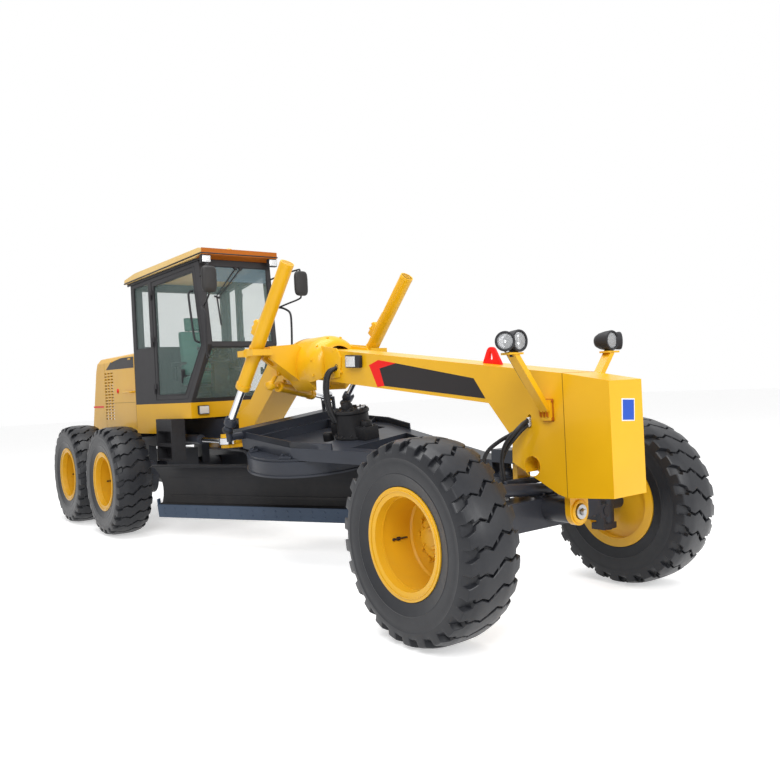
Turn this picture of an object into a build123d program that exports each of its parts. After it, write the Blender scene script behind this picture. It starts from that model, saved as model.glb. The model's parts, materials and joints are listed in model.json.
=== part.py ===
from build123d import *
import os
from math import atan2, cos, degrees, hypot, radians, sin

# Motor grader with tandem drive, articulated frame and circle-mounted blade.
# Millimetres. +X runs forward, +Y to the machine's left, +Z up.
# The origin is on the ground, half-way along the machine.

# ---------------------------------------------------------------- driving sizes
WHEELBASE = 6800.0          # front axle to the middle of the tandems
TANDEM_PITCH = 1538.0       # between the two wheels of one tandem
TRACK = 2180.0              # between the wheels' middle planes
NOSE_REACH = 815.0          # front axle to the face of the nose weight
TAIL_REACH = 1670.0         # middle of the tandems to the bumper's face
HITCH_AHEAD = 2150.0        # articulation pin ahead of the tandems' middle
RUN = 0.3                   # running clearance at pins and rods
GAP = 8.0                   # clearance round doors and panels

LENGTH = NOSE_REACH + WHEELBASE + TAIL_REACH
HITCH_REACH = WHEELBASE - HITCH_AHEAD
FRONT_X = LENGTH / 2 - NOSE_REACH
TANDEM_X = FRONT_X - WHEELBASE
HITCH_X = FRONT_X - HITCH_REACH
TAIL_X = -LENGTH / 2

# wheels
TYRE_R = 675.0
TYRE_W = 445.0
SHOULDER_W = 150.0          # from the wheel's middle to where the tread falls away
SHOULDER_DROP = 7.0
LUGS = 26                   # round one tyre
LUG_SHARE = 0.6             # part of the pitch that a lug takes up
LUG_END_R = 622.0
NOTCH_R = 575.0             # foot of the notch between two lugs
WALL_R = 500.0              # where the sidewall turns in towards the bead
BEAD_R = 345.0
RIM_FLANGE_R = 368.0
RIM_W = 396.0
RIM_WALL = 45.0
RIM_DISC_T = 22.0
RIM_DISC_IN = 118.0         # disc's outer face, inboard of the wheel's middle
HUB_R = 150.0
HUB_OUT = 52.0              # hub cap's height over the disc
SPINDLE_R = 60.0
SPINDLE_IN = 62.0           # spindle's tip, inboard of the wheel's middle

# front axle
KINGPIN_Y = 790.0
KINGPIN_R = 45.0
KINGPIN_H = 150.0           # half the knuckle's height
KNUCKLE_R = 66.0
LEAN_Y = 665.0
LEAN_Z = 640.0
LEAN_PIN_R = 40.0
CLEVIS_R = 51.0             # round the lean pin, clear of the knuckle
LEAN_BAR_Z = 940.0
LEAN_BAR_PIN_R = 20.0
WEB_T = 45.0
ARM_BACK = 230.0            # kingpin to the tie rod's ball, rearwards
ARM_DROP = 130.0            # steering arm below the wheel's middle
TIE_Z = 600.0
TIE_BALL_R = 24.0
TIE_ROOM = 5.0              # under the tie rod's right ball
TIE_ROD_R = 22.0
BEAM_TOP = 825.0
BEAM_BOTTOM = 610.0
BEAM_HALF_X = 110.0
AXLE_PIVOT_Z = 750.0
AXLE_PIVOT_R = 90.0
AXLE_PIN_R = 40.0

# front frame, in distances ahead of the front axle and heights
FRAME_HALF = 175.0
POCKET_DEEP = 120.0         # depth of the leg's hose slot and round hole
SLOT = (117.0, 1394.0)      # ahead of the front axle, z
SLOT_R = 17.0
SLOT_HALF_H = 32.0
LEG_HOLE = (125.0, 1072.0)
LEG_HOLE_R = 72.0
LUG_X = (340.0, 385.0)      # front pivot lug, rear and front face
HITCH_LUG_R = 140.0
HITCH_PIN_R = 45.0
HITCH_LUG_T = 60.0
HITCH_LOW_Z = 1100.0
HITCH_HIGH_Z = 1400.0

# drawbar, circle and blade, in the drawbar's own frame (origin at its ball)
BALL_BACK = 300.0           # ball behind the front axle
BALL_Z = 960.0
BALL_R = 70.0
DRAWBAR_ROLL = 7.7          # left side up
DRAWBAR_PITCH = 3.9         # rear end up
CIRCLE_AHEAD = 1750.0       # circle's middle ahead of the articulation pin
CIRCLE_BACK = HITCH_REACH - BALL_BACK - CIRCLE_AHEAD
CIRCLE_R = 767.0
CIRCLE_T = 150.0
DRAWBAR_T = 130.0
LIFT_BALL_BACK = CIRCLE_BACK + 570.0
LIFT_BALL_Y = 740.0
LIFT_BALL_Z = 262.0
LIFT_BALL_R = 48.0
LIFT_LOW = 12.0             # how far the drawbar swings down from its parked height, degrees
EYE_ROOM = 8.0              # between a lift cylinder's ball and its rod
BLADE_ANGLE = 27.0          # blade's line to the machine's middle line
BLADE_L = 3965.0
BLADE_H = 610.0
BLADE_T = 22.0
BLADE_BOTTOM = -812.0
BLADE_SHIFT = -232.0        # blade's middle from the circle's, to the right
BLADE_BOW = 120.0           # depth of the curve of the mouldboard
BLADE_FACE = 90.0           # cutting edge ahead of the circle's middle

# lift cylinders
TRUNNION_BACK = HITCH_REACH - 1687.0
TRUNNION_Y = 702.0
TRUNNION_Z = 2080.0
YOKE_PIN_Y = 545.0
BARREL_R = 68.0
COLLAR_R = 74.0
HOOP_IN_X = 132.0           # yoke hoop's opening, half its length and half its width
HOOP_IN_Y = 86.0
LIFT_ROD_R = 38.0
BARREL_ABOVE = 978.0
BARREL_BELOW = 410.0

# cab, distances back from the front axle and heights
CAB_FLOOR_Z = 1610.0
CAB_WAIST_X = HITCH_REACH - 80.0
CAB_WAIST_Z = 2285.0
CAB_HEAD_X = HITCH_REACH + 40.0
CAB_HEAD_Z = 3310.0
CAB_SILL_X = HITCH_REACH + 350.0
CAB_REAR_X = HITCH_REACH + 1690.0
CAB_REAR_Z = 3215.0
CAB_WAIST_HALF = 457.0
CAB_TAPER = 0.1387          # how fast the half-width grows rearwards
CAB_WALL = 55.0
PILLAR = 75.0
B_PILLAR_X = HITCH_REACH + 1200.0
ROOF_T = 95.0
GLASS_T = 6.0
HOOD_HALF = 640.0
HOOD_TOP = 2320.0
HOOD_WALL = 25.0
BASE_BOTTOM = 1419.0

# rear frame
RAIL_IN = 330.0
RAIL_OUT = 450.0
RAIL_BOTTOM = 1040.0
RAIL_TOP = 1230.0
TANDEM_IN = 640.0
TANDEM_OUT = 850.0
TANDEM_HALF_H = 205.0

SIDES = (("left", 1), ("right", -1))


# ---------------------------------------------------------------- helpers
def block(x0, x1, y0, y1, z0, z1):
    size = Box(abs(x1 - x0), abs(y1 - y0), abs(z1 - z0))
    return Pos((x0 + x1) / 2, (y0 + y1) / 2, (z0 + z1) / 2) * size


def slab_xz(points, y0, y1):
    """Outline in X and Z, pushed along Y."""
    outline = make_face(Polyline(*[(x, min(y0, y1), z) for x, z in points], close=True))
    return extrude(outline, amount=abs(y1 - y0), dir=(0, 1, 0))


def slab_xy(points, z0, z1):
    """Outline in X and Y, pushed along Z."""
    outline = make_face(Polyline(*[(x, y, min(z0, z1)) for x, y in points], close=True))
    return extrude(outline, amount=abs(z1 - z0), dir=(0, 0, 1))


def slab_yz(points, x0, x1):
    """Outline in Y and Z, pushed along X."""
    outline = make_face(Polyline(*[(min(x0, x1), y, z) for y, z in points], close=True))
    return extrude(outline, amount=abs(x1 - x0), dir=(1, 0, 0))


def bar(a, b, radius):
    """Round bar from point a to point b."""
    a, b = Vector(*a), Vector(*b)
    return Plane(origin=a, z_dir=b - a) * Cylinder(
        radius, (b - a).length, align=(Align.CENTER, Align.CENTER, Align.MIN))


def box_bar(a, b, width, height):
    """Square bar from a to b; height is measured in the upright plane."""
    a, b = Vector(*a), Vector(*b)
    side = Vector(0, 0, 1).cross(b - a)
    if side.length < 1e-6:
        side = Vector(0, 1, 0)
    return Plane(origin=a, x_dir=side, z_dir=b - a) * Box(
        width, height, (b - a).length, align=(Align.CENTER, Align.CENTER, Align.MIN))


def along_x(x0, x1, y, z, radius):
    return bar((x0, y, z), (x1, y, z), radius)


def along_y(x, y0, y1, z, radius):
    return bar((x, y0, z), (x, y1, z), radius)


def along_z(x, y, z0, z1, radius):
    return bar((x, y, z0), (x, y, z1), radius)


def turned(points, centre, side):
    """Ring turned about Y; points are (distance outboard, radius)."""
    x, y, z = centre
    outline = make_face(Polyline(*[(x, y + side * w, z + r) for w, r in points], close=True))
    return revolve(outline, axis=Axis((x, y, z), (0, 1, 0)), revolution_arc=360)


def joined(shapes):
    whole = shapes[0]
    for shape in shapes[1:]:
        whole = whole + shape
    return whole


def back(distance):
    """X of a point this far behind the front axle."""
    return FRONT_X - distance


NODES = {}


def keep(name, shape):
    NODES[name] = shape


# ---------------------------------------------------------------- wheels
def ring_of(centre, side, w, corners):
    """Points round a wheel at the distance w from its middle; corners are (turn in degrees from below, radius)."""
    x, y, z = centre
    return [(x + r * sin(radians(turn)), y + side * w, z - r * cos(radians(turn))) for turn, r in corners]


def band(first, second):
    """Flat faces between two rings of equal count; a quad that isn't flat becomes two triangles."""
    faces = []
    for i in range(len(first)):
        j = (i + 1) % len(first)
        a, b, c, d = (Vector(*point) for point in (first[i], first[j], second[j], second[i]))
        if abs((b - a).cross(c - a).normalized().dot(d - a)) < 1e-4:
            loops = [(a, b, c, d)]
        else:
            loops = [(a, b, c), (a, c, d)]
        faces += [Face(Wire.make_polygon(loop)) for loop in loops]
    return faces


def tyre(centre, side):
    """Flat-faced tyre; a row of notches along each shoulder leaves the lugs between them."""
    pitch = 360 / LUGS
    crown_r = TYRE_R / cos(radians(pitch * LUG_SHARE / 2))
    crown, foot, wall = [], [], []
    for lug in range(LUGS):
        # the two corners of a lug's top, and the notch half-way to the next lug
        for share, r in ((-LUG_SHARE / 2, LUG_END_R), (LUG_SHARE / 2, LUG_END_R), (0.5, NOTCH_R)):
            crown.append(((lug + share) * pitch, crown_r - SHOULDER_DROP))
            foot.append(((lug + share) * pitch, r))
        wall.append((lug * pitch, WALL_R))
    bead = [(turn, (BEAD_R + 0.1) / cos(radians(pitch / 2))) for turn, _ in wall]
    middle = ring_of(centre, side, 0, [(turn, r + SHOULDER_DROP) for turn, r in crown])
    seats = []
    faces = []
    for way in (-1, 1):
        rings = [ring_of(centre, side, way * w, corners) for w, corners in (
            (SHOULDER_W, crown), (TYRE_W / 2, foot), (TYRE_W / 2, wall),
            (RIM_W / 2 - 26, bead))]
        faces += band(middle, rings[0]) + band(rings[0], rings[1])
        faces.append(Face(Wire.make_polygon(rings[1]), [Wire.make_polygon(rings[2])]))
        faces += band(rings[2], rings[3])
        seats.append(rings[3])
    return Solid(Shell(faces + band(*seats)))


def rim(centre, side):
    edge = RIM_W / 2
    barrel_in = BEAD_R - RUN - RIM_WALL
    seat = BEAD_R - RUN
    disc_out = -RIM_DISC_IN
    disc_in = disc_out - RIM_DISC_T
    bore = SPINDLE_R + RUN
    points = [
        (-edge, RIM_FLANGE_R), (-edge, barrel_in), (disc_in, barrel_in), (disc_in, bore),
        (-SPINDLE_IN + RUN, bore), (-SPINDLE_IN + RUN, 0), (disc_out + HUB_OUT + 22, 0),
        (disc_out + HUB_OUT + 22, 70), (disc_out + HUB_OUT, 84), (disc_out + HUB_OUT, HUB_R - 20),
        (disc_out + HUB_OUT - 16, HUB_R), (disc_out, HUB_R), (disc_out, barrel_in),
        (edge - 60, barrel_in), (edge - 10, barrel_in + 8), (edge, RIM_FLANGE_R - 14),
        (edge, RIM_FLANGE_R), (edge - 14, RIM_FLANGE_R), (edge - 22, seat),
        (-edge + 22, seat), (-edge + 14, RIM_FLANGE_R),
    ]
    return turned(points, centre, side)


WHEELS = [("front", FRONT_X), ("mid", TANDEM_X + TANDEM_PITCH / 2), ("rear", TANDEM_X - TANDEM_PITCH / 2)]
for end, wheel_x in WHEELS:
    for hand, side in SIDES:
        middle = (wheel_x, side * TRACK / 2, TYRE_R)
        keep(f"tyre_{end}_{hand}", tyre(middle, side))
        keep(f"rim_{end}_{hand}", rim(middle, side))

# ---------------------------------------------------------------- front axle
beam_end = LEAN_Y - 70
beam_profile = [
    (-beam_end, BEAM_BOTTOM + 20), (-330, BEAM_BOTTOM), (330, BEAM_BOTTOM), (beam_end, BEAM_BOTTOM + 20),
    (beam_end, BEAM_TOP - 60), (420, BEAM_TOP), (-420, BEAM_TOP), (-beam_end, BEAM_TOP - 60),
]
beam = slab_yz(beam_profile, FRONT_X - BEAM_HALF_X, FRONT_X + BEAM_HALF_X)
pivot_tube = along_x(FRONT_X - BEAM_HALF_X, FRONT_X + LUG_X[0] - RUN, 0, AXLE_PIVOT_Z, AXLE_PIVOT_R)
pivot_pin = along_x(FRONT_X - 185, FRONT_X + LUG_X[1] + 18, 0, AXLE_PIVOT_Z, AXLE_PIN_R - RUN)
front_axle = beam + pivot_tube + pivot_pin
for hand, side in SIDES:
    # clevis round the lean pin, open outboard
    for x_mid in (-85, 85):
        ear = block(FRONT_X + x_mid - 22, FRONT_X + x_mid + 22, side * (beam_end - 10), side * LEAN_Y,
                    LEAN_Z - CLEVIS_R, LEAN_Z + CLEVIS_R)
        front_axle += ear + along_x(FRONT_X + x_mid - 22, FRONT_X + x_mid + 22, side * LEAN_Y, LEAN_Z, CLEVIS_R)
    front_axle += along_x(FRONT_X - 115, FRONT_X + 115, side * LEAN_Y, LEAN_Z, LEAN_PIN_R)
keep("front_axle", front_axle)

for hand, side in SIDES:
    # bracket that leans: boss on the lean pin, back plate and two kingpin ears
    boss = along_x(FRONT_X - 60, FRONT_X + 60, side * LEAN_Y, LEAN_Z, 54)
    web = block(FRONT_X - 60, FRONT_X + 60, side * LEAN_Y, side * (LEAN_Y + WEB_T), LEAN_Z - 40,
                LEAN_BAR_Z - 45)
    ears = [block(FRONT_X - 60, FRONT_X + 60, side * (LEAN_Y + 20), side * (KINGPIN_Y + 55),
                  TYRE_R + s * (KINGPIN_H + RUN), TYRE_R + s * (KINGPIN_H + 50)) for s in (-1, 1)]
    low_web = block(FRONT_X - 12, FRONT_X + 60, side * (LEAN_Y + 20), side * (LEAN_Y + WEB_T),
                    TYRE_R - KINGPIN_H - 50, LEAN_Z)
    kingpin = along_z(FRONT_X, side * KINGPIN_Y, TYRE_R - KINGPIN_H - 60, TYRE_R + KINGPIN_H + 60,
                      KINGPIN_R)
    horn = block(FRONT_X - 30, FRONT_X + 30, side * (LEAN_Y - 31), side * (LEAN_Y + 31), LEAN_BAR_Z - 50,
                 LEAN_BAR_Z + 40)
    bracket = joined([boss, web, low_web, horn, kingpin] + ears)
    bracket -= along_x(FRONT_X - 70, FRONT_X + 70, side * LEAN_Y, LEAN_Z, LEAN_PIN_R + RUN)
    bracket -= along_x(FRONT_X - 70, FRONT_X + 70, side * LEAN_Y, LEAN_BAR_Z, LEAN_BAR_PIN_R + RUN)
    keep(f"lean_bracket_{hand}", bracket)

    barrel = along_z(FRONT_X, side * KINGPIN_Y, TYRE_R - KINGPIN_H, TYRE_R + KINGPIN_H, KNUCKLE_R)
    spindle = along_y(FRONT_X, side * KINGPIN_Y, side * (TRACK / 2 - SPINDLE_IN), TYRE_R, SPINDLE_R)
    tie_end = (FRONT_X - ARM_BACK, side * KINGPIN_Y, TIE_Z)
    arm_z = TYRE_R - ARM_DROP
    arm = box_bar((FRONT_X, side * KINGPIN_Y, arm_z), (tie_end[0], side * KINGPIN_Y, arm_z), 60, 30)
    # the right seat stops short of its ball, which wanders a little as the wheels lean
    seat_top = TIE_Z - TIE_BALL_R + (4 if side > 0 else -TIE_ROOM)
    ball_seat = along_z(tie_end[0], side * KINGPIN_Y, arm_z - 15, seat_top, TIE_BALL_R + 4)
    ball_seat -= Pos(*tie_end) * Sphere(TIE_BALL_R + RUN)
    knuckle = barrel + spindle + arm + ball_seat
    knuckle -= along_z(FRONT_X, side * KINGPIN_Y, TYRE_R - KINGPIN_H - 5, TYRE_R + KINGPIN_H + 5,
                       KINGPIN_R + RUN)
    keep(f"knuckle_{hand}", knuckle)

# bar that ties the two leaning brackets together, behind the leg
lean_bar = box_bar((FRONT_X - 62, -LEAN_Y, LEAN_BAR_Z), (FRONT_X - 62, LEAN_Y, LEAN_BAR_Z), 46, 46)
for hand, side in SIDES:
    lean_bar += along_x(FRONT_X - 85, FRONT_X - 39, side * LEAN_Y, LEAN_BAR_Z, 36)
    lean_bar += along_x(FRONT_X - 85, FRONT_X + 34, side * LEAN_Y, LEAN_BAR_Z, LEAN_BAR_PIN_R)
keep("lean_bar", lean_bar)

# tie rod between the steering arms; the left ball turns on its own
tie_x = FRONT_X - ARM_BACK
keep("tie_rod_ball", Pos(tie_x, KINGPIN_Y, TIE_Z) * Sphere(TIE_BALL_R))
left_neck = KINGPIN_Y - TIE_BALL_R - RUN
tie_rod = along_y(tie_x, left_neck - 60, left_neck, TIE_Z, 10)
tie_rod += along_y(tie_x, 60 + TIE_BALL_R - KINGPIN_Y, left_neck - 60, TIE_Z, TIE_ROD_R)
tie_rod += along_y(tie_x, -KINGPIN_Y, 60 + TIE_BALL_R - KINGPIN_Y, TIE_Z, 10)
tie_rod += Pos(tie_x, -KINGPIN_Y, TIE_Z) * Sphere(TIE_BALL_R)
keep("tie_rod", tie_rod)

# ---------------------------------------------------------------- front frame
# outline: (ahead of the front axle, z) for the leg, (ahead of the articulation pin, z) for the beam
leg_outline = [(433, 868), (352, 889), (-68, 1092), (-57, 1268), (-287, 1528)]
beam_outline = [
    (2434, 1743), (1600, 1830), (1200, 1790), (1050, 1700), (600, 1340), (470, HITCH_LOW_Z), (210, HITCH_LOW_Z),
    (210, HITCH_HIGH_Z + HITCH_LUG_T), (470, 1560), (1090, 2100), (1550, 2150), (2460, 2046),
]
front_outline = [(FRONT_X + x, z) for x, z in leg_outline] + [(HITCH_X + x, z) for x, z in beam_outline]
front_frame = slab_xz(front_outline + [(FRONT_X + 433, 1725)], -FRAME_HALF, FRAME_HALF)
# hose slot and round hole in the leg's sides
for hand, side in SIDES:
    deep, face = side * (FRAME_HALF - POCKET_DEEP), side * (FRAME_HALF + 5)
    front_frame -= block(FRONT_X + SLOT[0] - SLOT_R, FRONT_X + SLOT[0] + SLOT_R, deep, face,
                         SLOT[1] - SLOT_HALF_H, SLOT[1] + SLOT_HALF_H)
    for z in (SLOT[1] - SLOT_HALF_H, SLOT[1] + SLOT_HALF_H):
        front_frame -= along_y(FRONT_X + SLOT[0], deep, face, z, SLOT_R)
    front_frame -= along_y(FRONT_X + LEG_HOLE[0], deep, face, LEG_HOLE[1], LEG_HOLE_R)
for z in (HITCH_LOW_Z, HITCH_HIGH_Z):
    ear = block(HITCH_X, HITCH_X + 220, -HITCH_LUG_R, HITCH_LUG_R, z, z + HITCH_LUG_T)
    front_frame += ear + along_z(HITCH_X, 0, z, z + HITCH_LUG_T, HITCH_LUG_R)
front_frame -= along_z(HITCH_X, 0, HITCH_LOW_Z - 5, HITCH_HIGH_Z + HITCH_LUG_T + 5, HITCH_PIN_R + RUN)
# pivot lugs of the front axle
for x0, x1, lug_r in ((*LUG_X, 98.0), (-170.0, -125.0, 70.0)):
    lug = block(FRONT_X + x0, FRONT_X + x1, -lug_r, lug_r, AXLE_PIVOT_Z, 1180 if x0 < 0 else 900)
    lug += along_x(FRONT_X + x0, FRONT_X + x1, 0, AXLE_PIVOT_Z, lug_r)
    front_frame += lug - along_x(FRONT_X + x0 - 5, FRONT_X + x1 + 5, 0, AXLE_PIVOT_Z, AXLE_PIN_R)
front_frame += block(FRONT_X - 170, FRONT_X - 60, -70, 70, 1080, 1180)
keep("front_frame", front_frame)

weight_profile = [(433, 868), (815, 895), (815, 1660), (433, 1725)]
nose_weight = slab_xz([(FRONT_X + x, z) for x, z in weight_profile], -FRAME_HALF, FRAME_HALF)
keep("nose_weight", nose_weight)

# ---------------------------------------------------------------- lamps on arms
lamp_arms = None
lamps = None
for hand, side in SIDES:
    foot = (FRONT_X + 298, side * (FRAME_HALF + 30), 1472)
    top = (FRONT_X + 310, side * 520, 1870)
    arm = box_bar(foot, top, 70, 40) + block(FRONT_X + 258, FRONT_X + 338, side * FRAME_HALF,
                                              side * (FRAME_HALF + 30), 1400, 1545)
    tray = block(FRONT_X + 270, FRONT_X + 350, side * 455, side * 590, 1862, 1876)
    arm += tray
    lamp_arms = arm if lamp_arms is None else lamp_arms + arm
    for y_mid in (-55, 55):
        body = along_x(FRONT_X + 270, FRONT_X + 345, side * 525 + y_mid, 1952, 70)
        body += along_x(FRONT_X + 345, FRONT_X + 370, side * 525 + y_mid, 1952, 76)
        foot_pad = block(FRONT_X + 285, FRONT_X + 335, side * 525 + y_mid - 20, side * 525 + y_mid + 20, 1876, 1900)
        body += foot_pad
        lamps = body if lamps is None else lamps + body
keep("lamp_arms", lamp_arms)
keep("headlamps", lamps)

# ---------------------------------------------------------------- saddle
saddle = along_x(back(TRUNNION_BACK + 97), back(TRUNNION_BACK - 263), 0, 1930, 300)
saddle -= block(back(TRUNNION_BACK + 137), back(TRUNNION_BACK - 313), -FRAME_HALF, FRAME_HALF, 1600, 2160)
for hand, side in SIDES:
    arm = slab_yz([(side * 200, 1880), (side * 250, 1780), (side * (YOKE_PIN_Y + 40), 2020),
                   (side * (YOKE_PIN_Y + 40), 2140), (side * 290, 2160), (side * 200, 2120)],
                  back(TRUNNION_BACK + 97), back(TRUNNION_BACK - 97))
    saddle += arm
    slot = block(back(TRUNNION_BACK + 50), back(TRUNNION_BACK - 50), side * (YOKE_PIN_Y - 62), side * 700, 1900, 2300)
    saddle -= slot
    saddle += along_x(back(TRUNNION_BACK + 97), back(TRUNNION_BACK - 97), side * YOKE_PIN_Y, TRUNNION_Z, 28)
# ball stud of the cylinder that holds the drawbar sideways
SHIFT_SEAT = (back(TRUNNION_BACK + 167), -455.0, 1765.0)
SHIFT_SEAT_R = 42.0
bracket = slab_yz([(-410, 1850), (-230, 1870), (-230, 1940), (-410, 1920)], SHIFT_SEAT[0] - 60, SHIFT_SEAT[0] + 60)
bracket += bar((SHIFT_SEAT[0], -370, 1880), SHIFT_SEAT, 24) + Pos(*SHIFT_SEAT) * Sphere(SHIFT_SEAT_R)
saddle += bracket + block(SHIFT_SEAT[0] + 55, back(TRUNNION_BACK + 77), -400, -230, 1870, 1940)
keep("saddle", saddle)

# ---------------------------------------------------------------- drawbar group
DRAWBAR_SEAT = Pos(back(BALL_BACK), 0, BALL_Z) * Rot(DRAWBAR_ROLL, DRAWBAR_PITCH, 0)


def to_world(point):
    """Place in the machine's frame of a point given in the drawbar's frame."""
    spot = (DRAWBAR_SEAT * Pos(*point)).position
    return (spot.X, spot.Y, spot.Z)


def to_drawbar(point):
    """Place in the drawbar's frame of a point given in the machine's frame."""
    spot = (DRAWBAR_SEAT.inverse() * Pos(*point)).position
    return (spot.X, spot.Y, spot.Z)


def along(a, b, distance):
    """Point on the line from a to b, this far from a."""
    a, b = Vector(*a), Vector(*b)
    spot = a + (b - a).normalized() * distance
    return (spot.X, spot.Y, spot.Z)


def swing_axis(seat, end):
    """Line that a cylinder's barrel turns about, to follow end as the drawbar swings down."""
    ball = Pos(back(BALL_BACK), 0, BALL_Z)
    low = (ball * Rot(0, -LIFT_LOW, 0) * ball.inverse() * Pos(*end)).position
    axis = (Vector(*end) - Vector(*seat)).cross(low - Vector(*seat)).normalized()
    return axis if axis.Y > 0 else axis * -1


def reach_out(point, axis, distance):
    """Point this far from the given one along a unit axis."""
    return (point[0] + axis.X * distance, point[1] + axis.Y * distance, point[2] + axis.Z * distance)


hanger = block(back(BALL_BACK + 70), FRONT_X - 170 - RUN, -90, 90, BALL_Z + 110, BALL_Z + 210)
hanger += block(FRONT_X - 175, FRONT_X - 68, 70 + RUN, 110, BALL_Z + 110, BALL_Z + 210)
hanger += block(FRONT_X - 175, FRONT_X - 68, -110, -70 - RUN, BALL_Z + 110, BALL_Z + 210)
hanger += Pos(back(BALL_BACK), 0, BALL_Z) * Sphere(BALL_R)
hanger += along_z(back(BALL_BACK), 0, BALL_Z + 40, BALL_Z + 115, 36)
keep("drawbar_mount", hanger)

NECK = -(CIRCLE_BACK - 900)             # where the drawbar's A-frame meets its circle plate
PLATE_WIDE = -(CIRCLE_BACK - 400)
PLATE_END = -(CIRCLE_BACK + 660)
tongue = joined([
    slab_xy([(-120, -60), (-120, 60), (NECK, 470), (NECK, -470)], 10, DRAWBAR_T),
    slab_xy([(NECK, -470), (NECK, 470), (PLATE_WIDE, 600), (PLATE_END, 560), (PLATE_END, -560), (PLATE_WIDE, -600)],
            10, DRAWBAR_T),
])
tongue -= slab_xy([(-900, -140), (-900, 140), (NECK + 100, 330), (NECK + 100, -330)], 40, DRAWBAR_T + 5)
tongue -= block(PLATE_END + 160, PLATE_WIDE + 150, -430, 430, 40, DRAWBAR_T + 5)
socket = Sphere(BALL_R + 45) - Sphere(BALL_R + RUN)
socket -= block(-200, 200, -200, 200, 15, 200)
cross = block(-LIFT_BALL_BACK - 160, 10 - LIFT_BALL_BACK, -640, 640, DRAWBAR_T - 5, 215)
drawbar = tongue + cross + block(-200, -BALL_R - 20, -60, 60, -60, DRAWBAR_T) + socket
for hand, side in SIDES:
    stud = (-LIFT_BALL_BACK, side * LIFT_BALL_Y, LIFT_BALL_Z)
    drawbar += along_y(-LIFT_BALL_BACK, side * 600, side * (LIFT_BALL_Y - 20), 172, 40)
    drawbar += along_z(-LIFT_BALL_BACK, side * LIFT_BALL_Y, 132, LIFT_BALL_Z, 30)
    drawbar += Pos(*stud) * Sphere(LIFT_BALL_R)
drawbar += along_z(-CIRCLE_BACK, 0, 0, 24, CIRCLE_R - 20)
# pin on two posts, for the eye of the cylinder that holds the drawbar sideways
SHIFT_END = (-LIFT_BALL_BACK - 75, 560.0, 345.0)
SHIFT_PIN_R = 18.0
SHIFT_AXIS = swing_axis(SHIFT_SEAT, to_world(SHIFT_END))
pin_ends = [to_drawbar(reach_out(to_world(SHIFT_END), SHIFT_AXIS, d)) for d in (-72, 72)]
drawbar += bar(*pin_ends, SHIFT_PIN_R)
for x, y, z in pin_ends:
    drawbar += along_z(x, y, 200, z + 20, 20)
keep("drawbar", DRAWBAR_SEAT * drawbar)

# swing drive on top of the drawbar
DRIVE_X = -(CIRCLE_BACK - 610)
drive = block(DRIVE_X - 130, DRIVE_X + 130, -170, 170, DRAWBAR_T, 330) + along_z(DRIVE_X, 0, 330, 430, 90)
drive += block(DRIVE_X + 130, DRIVE_X + 290, -90, 90, DRAWBAR_T, 260)
keep("swing_drive", DRAWBAR_SEAT * drive)

# circle: a skirted ring with two side arms that carry the blade
ring_low = -RUN - CIRCLE_T
circle = along_z(-CIRCLE_BACK, 0, ring_low, -RUN, CIRCLE_R)
circle -= along_z(-CIRCLE_BACK, 0, ring_low - 5, 0, CIRCLE_R - 150)
BLADE_SEAT = Pos(-CIRCLE_BACK, 0, 0) * Rot(0, 0, BLADE_ANGLE)
HINGE_N, HINGE_Z = 215.0, -560.0      # tilt hinge, behind the blade's face
for place in (-560, 560):
    # in the blade's frame: x along the blade, y across it (rearwards and left is +)
    leg = slab_yz([(160, ring_low + 20), (420, ring_low + 20), (300, HINGE_Z - 30),
                   (HINGE_N + 45, HINGE_Z - 50), (HINGE_N - 40, HINGE_Z - 50), (HINGE_N - 50, HINGE_Z + 60)],
                  place - 35, place + 35)
    leg -= along_x(place - 40, place + 40, HINGE_N, HINGE_Z, 30 + RUN)
    circle += BLADE_SEAT * leg
keep("circle", DRAWBAR_SEAT * circle)

# tilting carrier: hinge pin and two plates whose claws hold the blade's rails
RAIL_FACE = 60.0            # rear face of the blade's slide rails
RAIL_HALF_H = 22.0
RAIL_MIDS = (BLADE_BOTTOM + 212.0, BLADE_BOTTOM + 457.0)
carrier = along_x(-660, 660, HINGE_N, HINGE_Z, 30)
for place in (-480, 480):
    plate = slab_yz([(RAIL_FACE + RUN, RAIL_MIDS[0] - RAIL_HALF_H - 30), (HINGE_N + 45, HINGE_Z - 40),
                     (HINGE_N + 30, HINGE_Z + 45), (120, RAIL_MIDS[1] + 50),
                     (RAIL_FACE + RUN, RAIL_MIDS[1] + RAIL_HALF_H + 30)], place - 30, place + 30)
    for mid, way in ((RAIL_MIDS[0], -1), (RAIL_MIDS[1], 1)):
        plate += block(place - 30, place + 30, RAIL_FACE - 20, RAIL_FACE + 10,
                       mid + way * (RAIL_HALF_H + RUN), mid + way * (RAIL_HALF_H + 30))
    carrier += plate
keep("blade_carrier", DRAWBAR_SEAT * BLADE_SEAT * carrier)

# mouldboard: a curved plate, its hollow face forward, with two slide rails behind
BLADE_LEFT = BLADE_SHIFT + BLADE_L / 2
BLADE_RIGHT = BLADE_SHIFT - BLADE_L / 2
EDGE_T = 19.0
EDGE_H = 150.0
plate_low, plate_high = BLADE_BOTTOM + 60, BLADE_BOTTOM + BLADE_H
plate_mid = (plate_low + plate_high) / 2
front_arc = ThreePointArc((BLADE_RIGHT, -BLADE_FACE, plate_low), (BLADE_RIGHT, BLADE_BOW - BLADE_FACE, plate_mid),
                          (BLADE_RIGHT, -BLADE_FACE - 20, plate_high))
rear_arc = ThreePointArc((BLADE_RIGHT, BLADE_T - BLADE_FACE - 20, plate_high + 6),
                         (BLADE_RIGHT, BLADE_BOW + BLADE_T - BLADE_FACE, plate_mid),
                         (BLADE_RIGHT, BLADE_T - BLADE_FACE, plate_low))
outline = Wire([front_arc, Line(front_arc @ 1, rear_arc @ 0), rear_arc, Line(rear_arc @ 1, front_arc @ 0)])
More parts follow.
